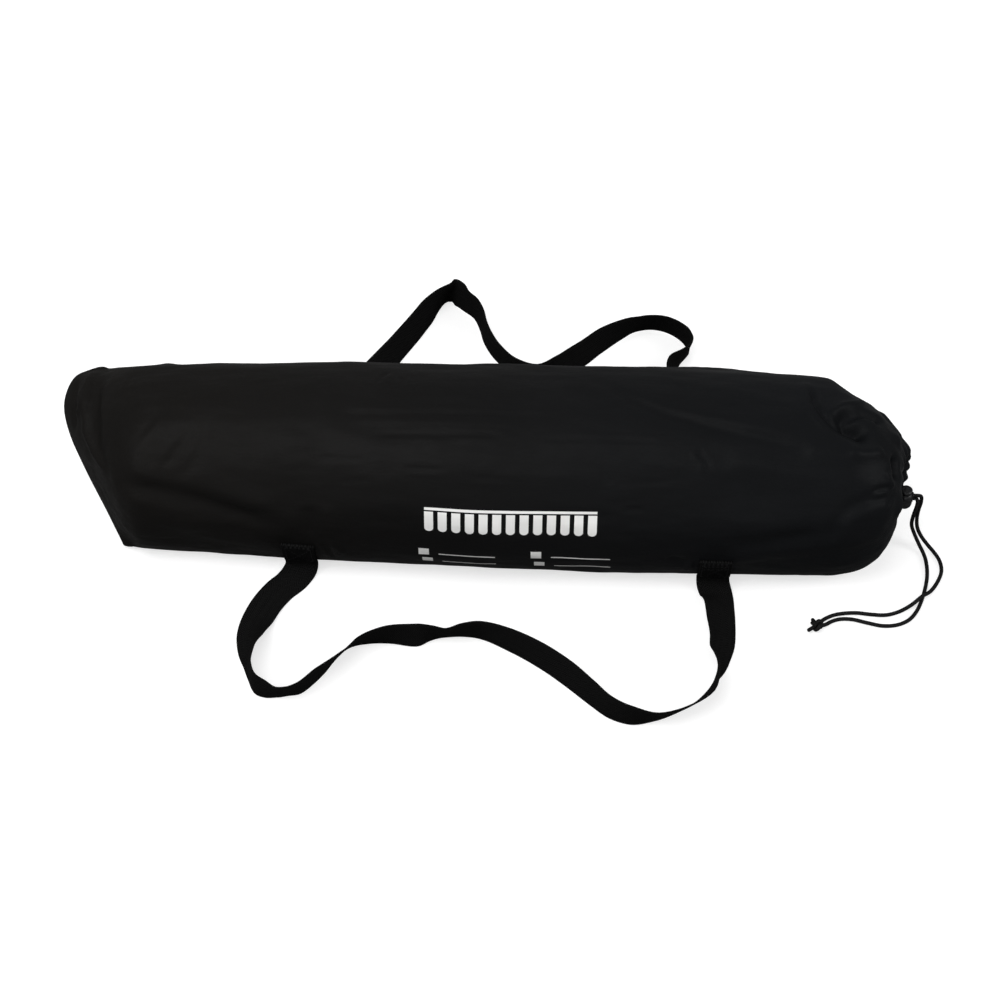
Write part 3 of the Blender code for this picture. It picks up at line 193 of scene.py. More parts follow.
# Folds of the cloth that the photograph shows: kind, height (mm), half width (mm), line of pixels on it.
# A line that runs to the right has its "step" raised on its upper side.
FOLDS = (
    # closed end: the load stops short of the seam, and the cloth falls in and folds over
    ("step", -3.0, 3.0, ((92, 371), (88, 388), (86, 405), (87, 430), (94, 450), (104, 466), (115, 479))),
    ("hollow", 2.0, 7.0, ((100, 376), (96, 392), (94, 412), (96, 434), (103, 454))),
    ("hollow", 4.0, 3.4, ((77, 380), (74, 396), (73, 412), (75, 426), (78, 434))),
    ("ridge", 1.6, 1.6, ((83, 386), (79, 396), (81, 404), (77, 414), (78, 424))),
    ("ridge", 1.0, 2.0, ((100, 388), (99, 404), (101, 420))),
    # edge of the load, with the loose cloth under it that reaches the corner on the floor
    ("hollow", 3.6, 8.5, ((112, 481), (140, 488), (166, 493), (200, 501), (230, 510), (262, 522),
                          (300, 540))),
    ("ridge", 1.4, 8.0, ((118, 470), (166, 480), (215, 490), (262, 505), (300, 520))),
    ("ridge", 1.0, 12.0, ((150, 512), (200, 526), (250, 544))),
    # a full corner of the load
    ("ridge", 1.7, 20.0, ((148, 424), (168, 438), (186, 452))),
    ("valley", 0.6, 5.0, ((206, 416), (205, 436), (197, 456), (184, 474), (168, 491))),
    ("ridge", 0.5, 3.0, ((200, 418), (199, 436), (190, 456), (176, 474))),
    ("valley", 0.3, 7.0, ((148, 408), (152, 432), (160, 455), (166, 478))),
    # long creases from how the bag was folded
    ("step", 0.8, 2.4, ((318, 411), (380, 411), (440, 412), (505, 413), (560, 413), (590, 415))),
    ("ridge", 0.8, 5.0, ((330, 418), (400, 419), (470, 421), (560, 422))),
    ("valley", 0.8, 1.6, ((362, 434), (420, 434), (480, 435), (535, 435))),
    ("valley", 0.7, 1.6, ((532, 438), (570, 439), (636, 441), (690, 443))),
    ("valley", 0.6, 1.6, ((316, 458), (345, 459), (378, 460))),
    ("valley", 0.6, 1.6, ((338, 482), (356, 480), (378, 481))),
    ("valley", 0.5, 1.6, ((402, 469), (430, 470), (456, 472))),
    ("ridge", 0.5, 1.6, ((404, 472), (430, 473), (456, 475))),
    ("valley", 0.5, 1.6, ((470, 478), (500, 480), (540, 482))),
    ("valley", 1.6, 7.0, ((307, 505), (311, 522), (306, 541))),
    ("valley", 0.6, 9.0, ((324, 428), (317, 460), (310, 500))),
    ("valley", 0.9, 1.5, ((388, 371), (381, 378), (376, 389))),
    ("ridge", 0.9, 1.5, ((392, 374), (387, 381), (396, 384))),
    ("valley", 0.8, 1.5, ((396, 377), (404, 380), (400, 390))),
    ("valley", 0.6, 2.0, ((130, 376), (126, 388), (134, 394))),
    # the ridge that runs to the drawn end, and the flats beside it
    ("step", 1.8, 4.2, ((596, 378), (612, 386), (636, 399), (662, 409), (698, 419), (742, 429),
                        (789, 441), (836, 453))),
    ("ridge", 1.4, 9.0, ((800, 446), (845, 456), (880, 462))),
    ("valley", 1.0, 7.0, ((560, 392), (600, 402), (640, 416))),
    ("valley", 0.6, 1.5, ((612, 486), (650, 483), (690, 480))),
    ("ridge", 1.0, 1.7, ((691, 452), (700, 462), (707, 475))),
    ("valley", 1.0, 1.7, ((696, 450), (705, 460), (714, 474))),
    ("valley", 0.7, 1.7, ((622, 511), (636, 510), (650, 511))),
    ("valley", 0.6, 1.7, ((600, 471), (606, 480), (618, 484))),
    ("dimple", 3.2, 17.0, ((738, 490), (764, 500))),
    ("ridge", 1.6, 9.0, ((720, 462), (760, 466), (800, 476), (830, 494))),
    ("valley", 1.8, 8.0, ((720, 545), (760, 544), (800, 538), (834, 524))),
    # drawn end: a dimple between two folds, and a fold over the lower corner
    ("ridge", 1.8, 4.5, ((806, 380), (806, 394), (811, 410), (822, 424), (840, 438))),
    ("valley", 3.0, 2.6, ((812, 388), (814, 404), (822, 416), (834, 426), (848, 436))),
    ("dimple", 15.0, 9.0, ((850, 424), (866, 431))),
    ("hollow", 5.5, 3.6, ((830, 420), (846, 413), (864, 412), (878, 418), (880, 430))),
    ("ridge", 2.6, 3.2, ((828, 414), (846, 404), (866, 402), (882, 408), (888, 420))),
    ("dimple", 7.5, 5.0, ((897, 463), (898, 477))),
    ("ridge", 1.8, 2.4, ((884, 468), (890, 482), (896, 492))),
    ("dimple", -3.0, 5.5, ((899, 505), (897, 512))),
    ("ridge", 2.4, 5.0, ((846, 448), (862, 454), (878, 452), (888, 444))),
    ("ridge", 2.6, 5.0, ((890, 420), (896, 434), (898, 450))),
    ("step", 2.0, 4.0, ((899, 499), (884, 501), (867, 505), (852, 512), (841, 522), (836, 537), (830, 556))),
    ("ridge", 1.3, 1.6, ((872, 497), (884, 494), (894, 491))),
    ("valley", 1.4, 1.5, ((872, 491), (884, 488), (893, 486))),
    ("valley", 1.2, 1.5, ((884, 507), (890, 500), (896, 494))),
    # the cloth drawn in at the sewn ends of the handles
    ("valley", 1.3, 2.0, ((322, 541), (329, 550), (336, 560))),
    ("ridge", 1.4, 2.4, ((328, 539), (338, 549), (350, 557))),
    ("ridge", 1.4, 2.4, ((686, 570), (690, 563), (697, 559))),
    ("valley", 1.0, 4.0, ((668, 556), (680, 560), (692, 562))),
)
# Folds on the sides that the photograph hides, as points near the cloth (mm)
FAR_FOLDS = (
    ("valley", 3.0, 7.0, ((-262, 84, 118), (-268, 92, 84), (-262, 80, 44), (-250, 60, 14))),
    ("ridge", 2.0, 8.0, ((-246, 66, 118), (-244, 84, 84), (-244, 82, 44))),
    ("valley", 1.2, 2.6, ((-200, 84, 74), (-110, 90, 70), (-20, 94, 72), (70, 94, 68))),
    ("valley", 1.0, 2.2, ((-60, 80, 104), (30, 84, 102), (120, 84, 106))),
    ("ridge", 2.0, 5.0, ((130, 70, 118), (190, 84, 100), (240, 88, 84), (290, 70, 72))),
    ("step", 1.8, 8.0, ((-230, 80, 34), (-140, 88, 30), (-60, 90, 32))),
    ("valley", 1.4, 6.0, ((96, 92, 38), (160, 94, 44), (230, 90, 56), (284, 66, 60))),
    ("ridge", 2.4, 5.0, ((300, 52, 96), (306, 40, 84), (311, 28, 72))),
    ("valley", 2.6, 4.0, ((296, 62, 72), (306, 44, 66), (312, 30, 62))),
    ("ridge", 2.4, 5.0, ((292, 66, 50), (304, 46, 48), (311, 28, 50))),
    ("valley", 2.4, 4.0, ((286, 58, 26), (302, 38, 34), (310, 22, 42))),
    ("valley", 1.0, 3.0, ((-131, 84, 54), (-130, 86, 72), (-126, 84, 96))),
    ("valley", 1.0, 3.0, ((174, 88, 54), (172, 90, 74), (168, 86, 98))),
)


def linear(colour):
    """An sRGB hex colour as linear red, green and blue."""
    made = []
    for i in (0, 2, 4):
        channel = int(colour[i:i + 2], 16) / 255
        made.append(channel / 12.92 if channel <= 0.04045 else ((channel + 0.055) / 1.055) ** 2.4)
    return tuple(made)


def plug(tree, value, socket):
    """Links the value to a socket, or sets the socket to it where it is a plain one."""
    if isinstance(value, bpy.types.NodeSocket):
        tree.links.new(value, socket)
    else:
        socket.default_value = value


def node(tree, kind, settings=(), **links):
    """Adds a node with its settings, and links or sets its inputs: i0 is its first input, and so on."""
    made = tree.nodes.new(kind)
    for name, value in dict(settings).items():
        setattr(made, name, value)
    for key, value in links.items():
        plug(tree, value, made.inputs[int(key[1:])])
    return made


def finish_of(name):
    """A new material with its Principled shader."""
    made = bpy.data.materials.new(name)
    made.use_nodes = True
    return made, made.node_tree, made.node_tree.nodes["Principled BSDF"]


def set_inputs(tree, shader, values):
    """Links or sets the shader's inputs by their names."""
    for name, value in values.items():
        plug(tree, value, shader.inputs[name])


def maths(tree, operation, a, b=0.0, c=0.0):
    """The result of one sum."""
    return node(tree, "ShaderNodeMath", {"operation": operation}, i0=a, i1=b, i2=c).outputs[0]


def ramp(tree, value, low, high, out_low=0.0, out_high=1.0):
    """The value moved from one range to another, softly, and held at its ends."""
    return node(tree, "ShaderNodeMapRange", {"interpolation_type": "SMOOTHSTEP"},
                i0=value, i1=low, i2=high, i3=out_low, i4=out_high).outputs[0]


def grain(tree, place, scale, detail=3.0, rough=0.5, warp=0.0):
    """Noise, from 0 to 1, with about scale patches to each metre."""
    return node(tree, "ShaderNodeTexNoise", i0=place, i2=scale, i3=detail, i4=rough, i8=warp).outputs[0]


def stretched(tree, place, scale):
    """The place with each of its axes scaled."""
    return node(tree, "ShaderNodeMapping", i0=place, i3=scale).outputs[0]


def two_tone(tree, share, low, high):
    """One colour turning to the other. Each is a hex colour, a property's own or a link."""
    mix = node(tree, "ShaderNodeMix", {"data_type": "RGBA"}, i0=share)
    for socket, colour in ((mix.inputs[6], low), (mix.inputs[7], high)):
        if isinstance(colour, bpy.types.NodeSocket):
            tree.links.new(colour, socket)
        else:
            socket.default_value = (*(linear(colour) if isinstance(colour, str) else colour), 1)
    return mix.outputs[2]


def relief(tree, shader, height, distance, strength=1.0, under=None):
    """Bump on the shader, laid over the one under it."""
    bump = node(tree, "ShaderNodeBump", i0=strength, i1=distance, i3=height)
    if under is not None:
        tree.links.new(under, bump.inputs["Normal"])
    tree.links.new(bump.outputs[0], shader.inputs["Normal"])
    return bump.outputs[0]


def object_place(tree):
    return node(tree, "ShaderNodeTexCoord").outputs["Object"]


def cloth_place(tree):
    """The piece's own UV map: metres along it and metres across or round it."""
    uv = node(tree, "ShaderNodeUVMap", {"uv_map": "Cloth"}).outputs[0]
    split = node(tree, "ShaderNodeSeparateXYZ", i0=uv)
    return uv, split.outputs[0], split.outputs[1]


def wave(tree, value, pitch):
    """A sine along the value, with one turn to each pitch."""
    return maths(tree, "SINE", maths(tree, "MULTIPLY", value, 2 * math.pi / pitch))


def plain_weave(tree, along, across, pitch):
    """Threads that pass over and under each other."""
    return maths(tree, "MULTIPLY", wave(tree, along, pitch), wave(tree, across, pitch))


def box_mask(tree, x, y, low, high):
    """White inside a box of the cloth's own plane."""
    sides = [maths(tree, "GREATER_THAN", x, low[0]), maths(tree, "LESS_THAN", x, high[0]),
             maths(tree, "GREATER_THAN", y, low[1]), maths(tree, "LESS_THAN", y, high[1])]
    mask = sides[0]
    for side in sides[1:]:
        mask = maths(tree, "MULTIPLY", mask, side)
    return mask


def piece_of(name, bm, smooth=True):
    """A finished bmesh as a new object in the scene."""
    for face in bm.faces:
        face.smooth = smooth
    mesh = bpy.data.meshes.new(name)
    bm.to_mesh(mesh)
    bm.free()
    obj = bpy.data.objects.new(name, mesh)
    bpy.context.scene.collection.objects.link(obj)
    return obj


def wrapped(name, along, around, place, uv_of, closed=True):
    """A piece made of a plain grid, laid out by place(u, v) and joined to itself where it closes."""
    bm = bmesh.new()
    bmesh.ops.create_grid(bm, x_segments=along, y_segments=around, size=1.0)
    layer = bm.loops.layers.uv.new("Cloth")
    at = {vert: ((vert.co.x + 1) / 2, (vert.co.y + 1) / 2) for vert in bm.verts}
    for face in bm.faces:
        for loop in face.loops:
            loop[layer].uv = uv_of(*at[loop.vert])
    u, v = np.array([at[vert] for vert in bm.verts]).T
    for vert, spot in zip(bm.verts, place(u, v)):
        vert.co = spot
    if closed:
        bmesh.ops.remove_doubles(bm, verts=bm.verts, dist=0.000002)
    bmesh.ops.recalc_face_normals(bm, faces=bm.faces)
    return piece_of(name, bm)


def eased(t):
    """A share that starts and ends softly."""
    return t * t * (3 - 2 * t)


def curve_at(t, start, leave, end, reach):
    """The curve from start to end at share t, with its slopes at both."""
    return (start * (2 * t ** 3 - 3 * t ** 2 + 1) + leave * (t ** 3 - 2 * t ** 2 + t)
            + end * (3 * t ** 2 - 2 * t ** 3) + reach * (t ** 3 - t ** 2))


def spline_rows(rows, places, wanted):
    """Rows of numbers, given at places, read smoothly at the wanted places."""
    rows, places = np.asarray(rows, float), np.asarray(places, float)
    shape = (-1, *[1] * (rows.ndim - 1))
    gaps = np.diff(places)
    slopes = np.diff(rows, axis=0) / gaps.reshape(shape)
    tangents = np.empty_like(rows)
    tangents[0], tangents[-1] = slopes[0], slopes[-1]
    a, b = gaps[:-1].reshape(shape), gaps[1:].reshape(shape)
    tangents[1:-1] = (slopes[:-1] * b + slopes[1:] * a) / (a + b)
    i = np.clip(np.searchsorted(places, wanted, side="right") - 1, 0, len(places) - 2)
    t = np.clip((wanted - places[i]) / gaps[i], 0, 1).reshape(shape)
    gap = gaps[i].reshape(shape)
    return curve_at(t, rows[i], tangents[i] * gap, rows[i + 1], tangents[i + 1] * gap)


def smooth_route(points, steps):
    """Points of a smooth curve through the given ones, evenly shared between them."""
    points = [Vector(p) for p in points]
    route = []
    last = len(points) - 1
    for i in range(last):
        before, start = points[max(i - 1, 0)], points[i]
        end, after = points[i + 1], points[min(i + 2, last)]
        gaps = [max((b - a).length, 1e-6) ** 0.5 for a, b in ((before, start), (start, end), (end, after))]
        leave = reach = end - start
        if i > 0:
            leave = leave + gaps[1] * ((start - before) / gaps[0] - (end - before) / (gaps[0] + gaps[1]))
        if i + 1 < last:
            reach = reach + gaps[1] * ((after - end) / gaps[2] - (after - start) / (gaps[1] + gaps[2]))
        route += [curve_at(k / steps, start, leave, end, reach) for k in range(steps)]
    route.append(points[-1].copy())
    return route


def bag_dims(x):
    """The load's reach to the front, reach to the rear and height at a station."""
    stations = [s[0] for s in SECTIONS]
    x = min(max(x, stations[0]), stations[-1])
    i = min(max(k for k, s in enumerate(stations) if s <= x), len(stations) - 2)
    t = eased((x - stations[i]) / (stations[i + 1] - stations[i]))
    return [a + (b - a) * t for a, b in zip(SECTIONS[i][1:], SECTIONS[i + 1][1:])]


def bag_point(x, part, where):
    """A point of the load's outline at a station, by part of the outline and angle."""
    front, rear, height = bag_dims(x)
    rise = height - WAIST
    if part == "under":
        return (x, FLAT_REAR - (FLAT_REAR + FLAT_FRONT) * where, UNDERSIDE)
    s, c = math.sin(math.radians(where)), math.cos(math.radians(where))
    if part == "front_low":
        return (x, -FLAT_FRONT - (front - FLAT_FRONT) * s, max(WAIST * (1 - c), UNDERSIDE))
    if part == "front_top":
        return (x, CROWN - (front + CROWN) * c, WAIST + rise * s)
    if part == "rear_top":
        return (x, CROWN + (rear - CROWN) * s, WAIST + rise * c)
    return (x, FLAT_REAR + (rear - FLAT_REAR) * s, max(WAIST * (1 - c), UNDERSIDE))


def bag_places():
    """Part and angle of each point of a ring, from the front's corner up and once round."""
    places = [("front_low", CORNER_FRONT + (90 - CORNER_FRONT) * i / 5) for i in range(5)]
    places += [("front_top", 90 * i / 9) for i in range(9)]
    places += [("rear_top", CORNER_REAR * i / 4) for i in range(4)]
    places += [("rear_top", CORNER_REAR + (90 - CORNER_REAR) * i / 4) for i in range(4)]
    places += [("rear_low", 90 - 15 * i) for i in range(6)]
    places += [("under", i / 5) for i in range(5)]
    places += [("front_low", CORNER_FRONT * i / 3) for i in range(3)]
    return places


def bag_rings():
    """The bag's rings from its closed end to its mouth, in mm."""
    places = bag_places()
    load = [np.array([bag_point(x, *p) for p in places]) for x in STATIONS]
    return np.array(closed_end(load[0]) + load + drawn_end(load[-1]))


def closed_end(first):
    """Rings from the seam, where the cloth is flat, to the load's first ring."""
    half = len(first) // 2
    line = smooth_route(SEAM, 6)
    spots = np.array([line[round(i * (len(line) - 1) / half)] for i in range(half + 1)])
    seam = np.concatenate([spots, spots[-2:0:-1]])
    rings = [seam]
    for share in (0.93, 0.8, 0.6, 0.4, 0.2):
        ring = first + (seam - first) * share ** 1.3
        ring[:, 0] = first[:, 0] + (seam[:, 0] - first[:, 0]) * share
        if share > 0.7:
            ring[:half, 2] += 12.5 * (1 - share) * np.sin(np.linspace(0, np.pi, half))
        rings.append(ring)
    return rings


def drawn_end(last):
    """Rings from the load's last ring to the mouth, and a little way in."""
    mouth = np.array(MOUTH, float)
    out = last - mouth
    out[:, 0] = 0
    turn = np.arctan2(out[:, 2], out[:, 1])
    rear = (0.5 + 0.5 * np.cos(turn)) ** 1.5
    shoulder = np.maximum(np.cos(turn - math.radians(SHOULDER)), 0) ** 3
    lip = np.maximum(np.cos(turn - math.radians(LIP)), 0) ** 6
    rings = []
    for share, x, rear_more, shoulder_less, lip_more in DOME:
        ring = mouth + out * share
        ring[:, 0] = x + rear_more * rear - shoulder_less * shoulder + lip_more * lip
        rings.append(ring)
    unit = out / np.linalg.norm(out, axis=1)[:, None]
    rings.append(mouth + unit * (HEM_RING + HEM_RADIUS + 0.6) + np.array((0.8, 0, 0)))
    rings.append(mouth + unit * (HEM_RING + HEM_RADIUS * 0.5) + np.array((-2.6, 0, 0)))
    return rings


def surface(rings, u, v):
    """Points of the surface through the rings at shares u along it and v round it."""
    steps = np.linalg.norm(np.diff(rings, axis=0), axis=2).mean(axis=1)
    places = np.concatenate([[0], np.cumsum(steps)])
    rows, index = np.unique(np.round(u, 9), return_inverse=True)
    lofted = spline_rows(rings, places, rows * places[-1])
    count = rings.shape[1]
    looped = np.concatenate([lofted[:, -3:], lofted, lofted[:, :4]], axis=1)
    columns, where = np.unique(np.round(v, 9), return_inverse=True)
    fine = spline_rows(np.swapaxes(looped, 0, 1), np.arange(-3, count + 4), columns * count)
    return fine[where, index]


def side_of(spots, rings_shape):
    """Normals of a grid of points, with rows along the bag and columns round it."""
    grid = spots.reshape(*rings_shape, 3)
    run = np.gradient(grid, axis=0)
    wide = np.concatenate([grid[:, -2:-1], grid, grid[:, 1:2]], axis=1)
    round_it = (wide[:, 2:] - wide[:, :-2]) / 2
    normal = np.cross(run, round_it)
    normal /= np.maximum(np.linalg.norm(normal, axis=2, keepdims=True), 1e-9)
    return normal.reshape(-1, 3)


def photo_axes():
    """The camera's place and its axes, in mm."""
    view = bpy.context.scene.awning_view
    elevation, yaw = view.elevation, view.turn
    forward = np.array([-math.sin(yaw) * math.cos(elevation), math.cos(yaw) * math.cos(elevation),
                        -math.sin(elevation)])
    right = np.array([math.cos(yaw), math.sin(yaw), 0.0])
    up = np.cross(right, forward)
    return np.array(AIM) - view.distance / MM * forward, forward, right, up


def on_photo(tree, pixel):
    """Where the line of sight through a pixel of the photograph meets the cloth, and how the cloth
    faces there."""
    eye, forward, right, up = photo_axes()
    middle = IMAGE / 2
    ray = forward * FOCAL + right * (pixel[0] - middle) - up * (pixel[1] - middle)
    return tree.ray_cast(Vector(eye), Vector(ray).normalized())[:2]


def press(spots, normals, line, ways, kind, height, width):
    """How far each point moves out for one fold."""
    line, ways = np.array(line), np.array(ways)
    lengths = np.linalg.norm(np.diff(line, axis=0), axis=1)
    start = np.concatenate([[0], np.cumsum(lengths)])
    best = np.full(len(spots), 1e9)
    side, share, facing = np.zeros((3, len(spots)))
    for i in range(len(line) - 1):
        run = line[i + 1] - line[i]
        long = max(run @ run, 1e-9)
        t = np.clip(((spots - line[i]) @ run) / long, 0, 1)
        away = spots - line[i] - t[:, None] * run
        far = np.linalg.norm(away, axis=1)
        up = np.cross(ways[i], run / long ** 0.5)
        near = far < best
        best = np.where(near, far, best)
        side = np.where(near, np.sign(away @ up) * far, side)
        share = np.where(near, (start[i] + t * lengths[i]) / start[-1], share)
        facing = np.where(near, normals @ ways[i], facing)
    bell = np.exp(-(best / width) ** 2)
    turned = np.clip(facing * 2 + 0.4, 0, 1)
    if kind == "dimple":
        return -height * bell * turned
    taper = eased(np.clip(np.minimum(share, 1 - share) / 0.22, 0, 1))
    hold = taper * turned * (best < (9.0 if kind == "step" else 3.2) * width)
    if kind == "ridge":
        return height * bell * hold
    if kind == "hollow":
        return -height * bell * hold
    if kind == "valley":
        return -height * (bell - 0.32 * np.exp(-((best - 1.9 * width) / width) ** 2)) * hold
    # a step stays raised for a while on its upper side, and comes back sooner on its lower
    fall = np.where(side > 0, 4.5, 2.0) * width
    return height * (np.tanh(side / width * 1.4) * np.exp(-(best / fall) ** 2)) * hold


def hidden_fold(tree, points):
    """A fold's line on the cloth from points near it, and the ways out of the bag there."""
    line, ways = [], []
    for point in points:
        spot, normal = tree.find_nearest(Vector(point))[:2]
        outwards = normal.dot(spot - Vector((spot.x, *HEART))) > 0
        line.append(spot)
        ways.append(normal if outwards else -normal)
    return line, ways


def seen_fold(tree, pixels):
    """A fold's line on the cloth from pixels of the photograph, and the ways towards the camera there."""
    forward = Vector(photo_axes()[1])
    line, ways = [], []
    for a, b in zip(pixels, pixels[1:]):
        for k in range(3):
            spot, normal = on_photo(tree, (a[0] + (b[0] - a[0]) * k / 3, a[1] + (b[1] - a[1]) * k / 3))
            if spot is not None:
                line.append(spot)
                ways.append(normal if normal.dot(forward) < 0 else -normal)
    return line, ways


def crumple(spot, size, seed):
    """Soft unevenness of cloth that has been folded and unfolded: longer along the bag than round it."""
    place = Vector((spot[0] / (size * 2.6), spot[1] / size, spot[2] / size + seed))
    return noise.noise(place)


def crumpled(spot):
    """Three sizes of unevenness together, as a share of the largest."""
    return crumple(spot, 34, 3.1) + 0.45 * crumple(spot, 13, 11.7) + 0.2 * crumple(spot, 6, 23.9)


def bag_cloth(along, around):
    """The bag's surface with its folds, and without them, in metres, by shares along and round it."""
    u, v = np.meshgrid(np.linspace(0, 1, along + 1), np.linspace(0, 1, around + 1), indexing="ij")
    u, v = u.ravel(), v.ravel()
    plain = surface(bag_rings(), u, v)
    shape = (along + 1, around + 1)
    normals = side_of(plain, shape)
    corners = [i * (around + 1) + j for i in range(along) for j in range(around)]
    tree = BVHTree.FromPolygons([Vector(p) for p in plain],
                                [(a, a + 1, a + around + 2, a + around + 1) for a in corners])
    out = np.zeros(len(plain))
    for folds, laid in ((FOLDS, seen_fold), (FAR_FOLDS, hidden_fold)):
        for kind, height, width, points in folds:
            line, ways = laid(tree, points)
            if len(line) > 1:
                out += press(plain, normals, line, ways, kind, height, width)
    fold = bpy.context.scene.awning_bag.crumple / MM
    out += fold * np.array([crumpled(p) for p in plain])
    out *= np.clip(u / 0.03, 0, 1) * np.clip((1 - u) / 0.02, 0, 1) * np.clip(plain[:, 2] / 4.0, 0, 1)
    # pleats, close round the mouth
    turn = v * 2 * np.pi
    near = np.clip((u - 0.93) / 0.05, 0, 1) ** 1.5 * np.clip((1.004 - u) / 0.01, 0, 1)
    out += near * 1.1 * np.cos(PLEATS * turn + 1.3 * np.sin(3 * turn))
    folded = plain + normals * out[:, None]
    folded[:, 2] = np.maximum(folded[:, 2], UNDERSIDE)
    return folded.reshape(*shape, 3) * MM, plain.reshape(*shape, 3) * MM


def make_bag():
    """The bag as one sheet of cloth. Its outer face is kept for what is sewn on it."""
    size = bpy.context.scene.awning_bag
    along, around = size.grid_along, size.grid_around
    folded, plain = bag_cloth(along, around)
    girth = np.linalg.norm(np.diff(plain, axis=1), axis=2).cumsum(axis=1)
    girth = np.concatenate([[0], girth[along // 2]])
    run = np.linalg.norm(np.diff(plain, axis=0), axis=2).mean(axis=1).cumsum()
    run = np.concatenate([[0], run])

    def place(u, v):
        return folded[np.round(u * along).astype(int), np.round(v * around).astype(int)]

    def cloth_uv(u, v):
        return run[round(u * along)], girth[round(v * around)]

    bag = wrapped("bag_cloth", along, around, place, cloth_uv)
    CLOTH["tree"] = BVHTree.FromObject(bag, bpy.context.evaluated_depsgraph_get())
    thicken(bag, 0.5, -1.0)
    finish_piece(bag, coated_nylon(), "bag", "coated_nylon", "bag_body")


def coated_nylon():
    """210D nylon oxford with a polyurethane coat: near black, a satin sheen, fine crinkles, no lint."""
    size = bpy.context.scene.awning_bag
    made, tree, shader = finish_of("Coated nylon oxford, black")
    uv, along, around = cloth_place(tree)
    spot = object_place(tree)
    soft = grain(tree, spot, 9.0, 3.0)
    # painted tint of the light: the cloth runs a little warmer at the closed end and cooler at the mouth, as
    # the light fell; the soft patches under it are random tone of the dye
    painted_tint_share = ramp(tree, node(tree, "ShaderNodeSeparateXYZ", i0=spot).outputs[0], -0.3, 0.3)
    dye_and_painted_tint = two_tone(tree, painted_tint_share, two_tone(tree, soft, size.warm_dark, size.warm_light),
                   two_tone(tree, soft, size.cool_dark, size.cool_light))
    # threads every 0.55 mm, drawn twice as coarse so that they show close up
    weave = plain_weave(tree, along, around, 1.1 * MM)
    worn = grain(tree, stretched(tree, uv, (0.35, 1.0, 1.0)), 26.0, 4.0, 0.55)
    fine = grain(tree, stretched(tree, uv, (0.4, 1.0, 1.0)), 150.0, 4.0, 0.6, 0.4)
    set_inputs(tree, shader, {
        "Base Color": two_tone(tree, printed(tree, along, around), dye_and_painted_tint, size.ink),
        "Roughness": ramp(tree, worn, 0.25, 0.75, size.roughness - 0.07, size.roughness + 0.06),
        "IOR": 1.45, "Specular IOR Level": size.sheen})
    under = relief(tree, shader, worn, 1.6 * MM, 0.5)
    under = relief(tree, shader, fine, 0.35 * MM, 0.6, under)
    relief(tree, shader, weave, 0.05 * MM, 0.5, under)
    return made


def printed(tree, along, around):
    """Screen print: a plain scalloped valance, and tick boxes with blank lines to write on."""
    left, right, foot, head = (edge * MM for edge in VALANCE)
    pitch, wide = SCALLOP_PITCH * MM, SCALLOP * MM

    def joined(operation, a, b):
        return maths(tree, operation, a, b)

    def box(*edges):
        return box_mask(tree, along, around, edges[:2], edges[2:])

    band = box(left, head - BAND * MM, right - pitch + wide, head)
    phase = maths(tree, "FRACT", joined("DIVIDE", joined("SUBTRACT", along, left), pitch))
    off = joined("SUBTRACT", joined("MULTIPLY", phase, pitch), wide / 2)
    inside = joined("MAXIMUM", joined("SUBTRACT", (wide / 2) ** 2, joined("MULTIPLY", off, off)), 0.0)
    low = joined("SUBTRACT", foot + wide / 2, maths(tree, "SQRT", inside))
    stripe = joined("LESS_THAN", maths(tree, "ABSOLUTE", off), wide / 2)
    stripe = joined("MULTIPLY", stripe, joined("GREATER_THAN", around, low))
    stripe = joined("MULTIPLY", stripe, box(left, foot, right, head - BAND_GAP * MM))
    mask = joined("MAXIMUM", band, stripe)
    for x, y, high, long in TICKS:
        for edges in ((x, y, x + TICK_WIDTH, y + high),
                      (x + LINE_AT, y + LINE_FOOT, x + LINE_AT + long, y + LINE_HEAD)):
            mask = joined("MAXIMUM", mask, box(*(edge * MM for edge in edges)))
    return mask


def along_route(points):
    """Distances along a line of points."""
    points = np.asarray(points, float)
    return np.concatenate([[0], np.linalg.norm(np.diff(points, axis=0), axis=1).cumsum()])


def tube_grid(points, radii, around, side=(0.0, 0.0, 1.0)):
    """Rings of points round a line, one for each of its points. The first starts towards side."""
    points = np.asarray(points, float)
    runs = np.gradient(points, axis=0)
    runs /= np.maximum(np.linalg.norm(runs, axis=1, keepdims=True), 1e-9)
    side = np.array(side, float)
    if abs(side @ runs[0]) > 0.9:
        side = np.array((0.0, 1.0, 0.0))
    rings = []
    angles = np.linspace(0, 2 * np.pi, around + 1)
    angles[-1] = 0
    cos, sin = np.cos(angles)[:, None], np.sin(angles)[:, None]
    for spot, run, radius in zip(points, runs, radii):
        side = side - run * (side @ run)
        side /= np.linalg.norm(side)
        rings.append(spot + radius * (cos * side + sin * np.cross(run, side)))
    return np.array(rings)


def from_grid(name, grid, uv_along, uv_around, closed=True):
    """A piece from rows of points (mm), with its own UV map in metres."""
    along, around = grid.shape[0] - 1, grid.shape[1] - 1

    def place(u, v):
        return grid[np.round(u * along).astype(int), np.round(v * around).astype(int)] * MM

    def uv_of(u, v):
        return uv_along[round(u * along)] * MM, uv_around[round(v * around)] * MM

    return wrapped(name, along, around, place, uv_of, closed)


def cord_piece(name, points, radius, around=12, tuck=(True, True)):
    """A cord along the points (mm), rounded off at the ends that tuck says."""
    points = [Vector(p) for p in points]
    radii = [radius] * len(points)
    for end in (0, 1):
        if tuck[end]:
            way = (points[1] - points[0]).normalized()
            points = [points[0] + way * d * radius for d in (0.0, 0.06, 0.3, 0.7)] + points[1:]
            radii = [share * radius for share in (0.02, 0.5, 0.82, 0.97)] + radii[1:]
        points, radii = points[::-1], radii[::-1]
    grid = tube_grid(points, radii, around)
    return from_grid(name, grid, along_route(points), np.linspace(0, 2 * np.pi * radius, around + 1))


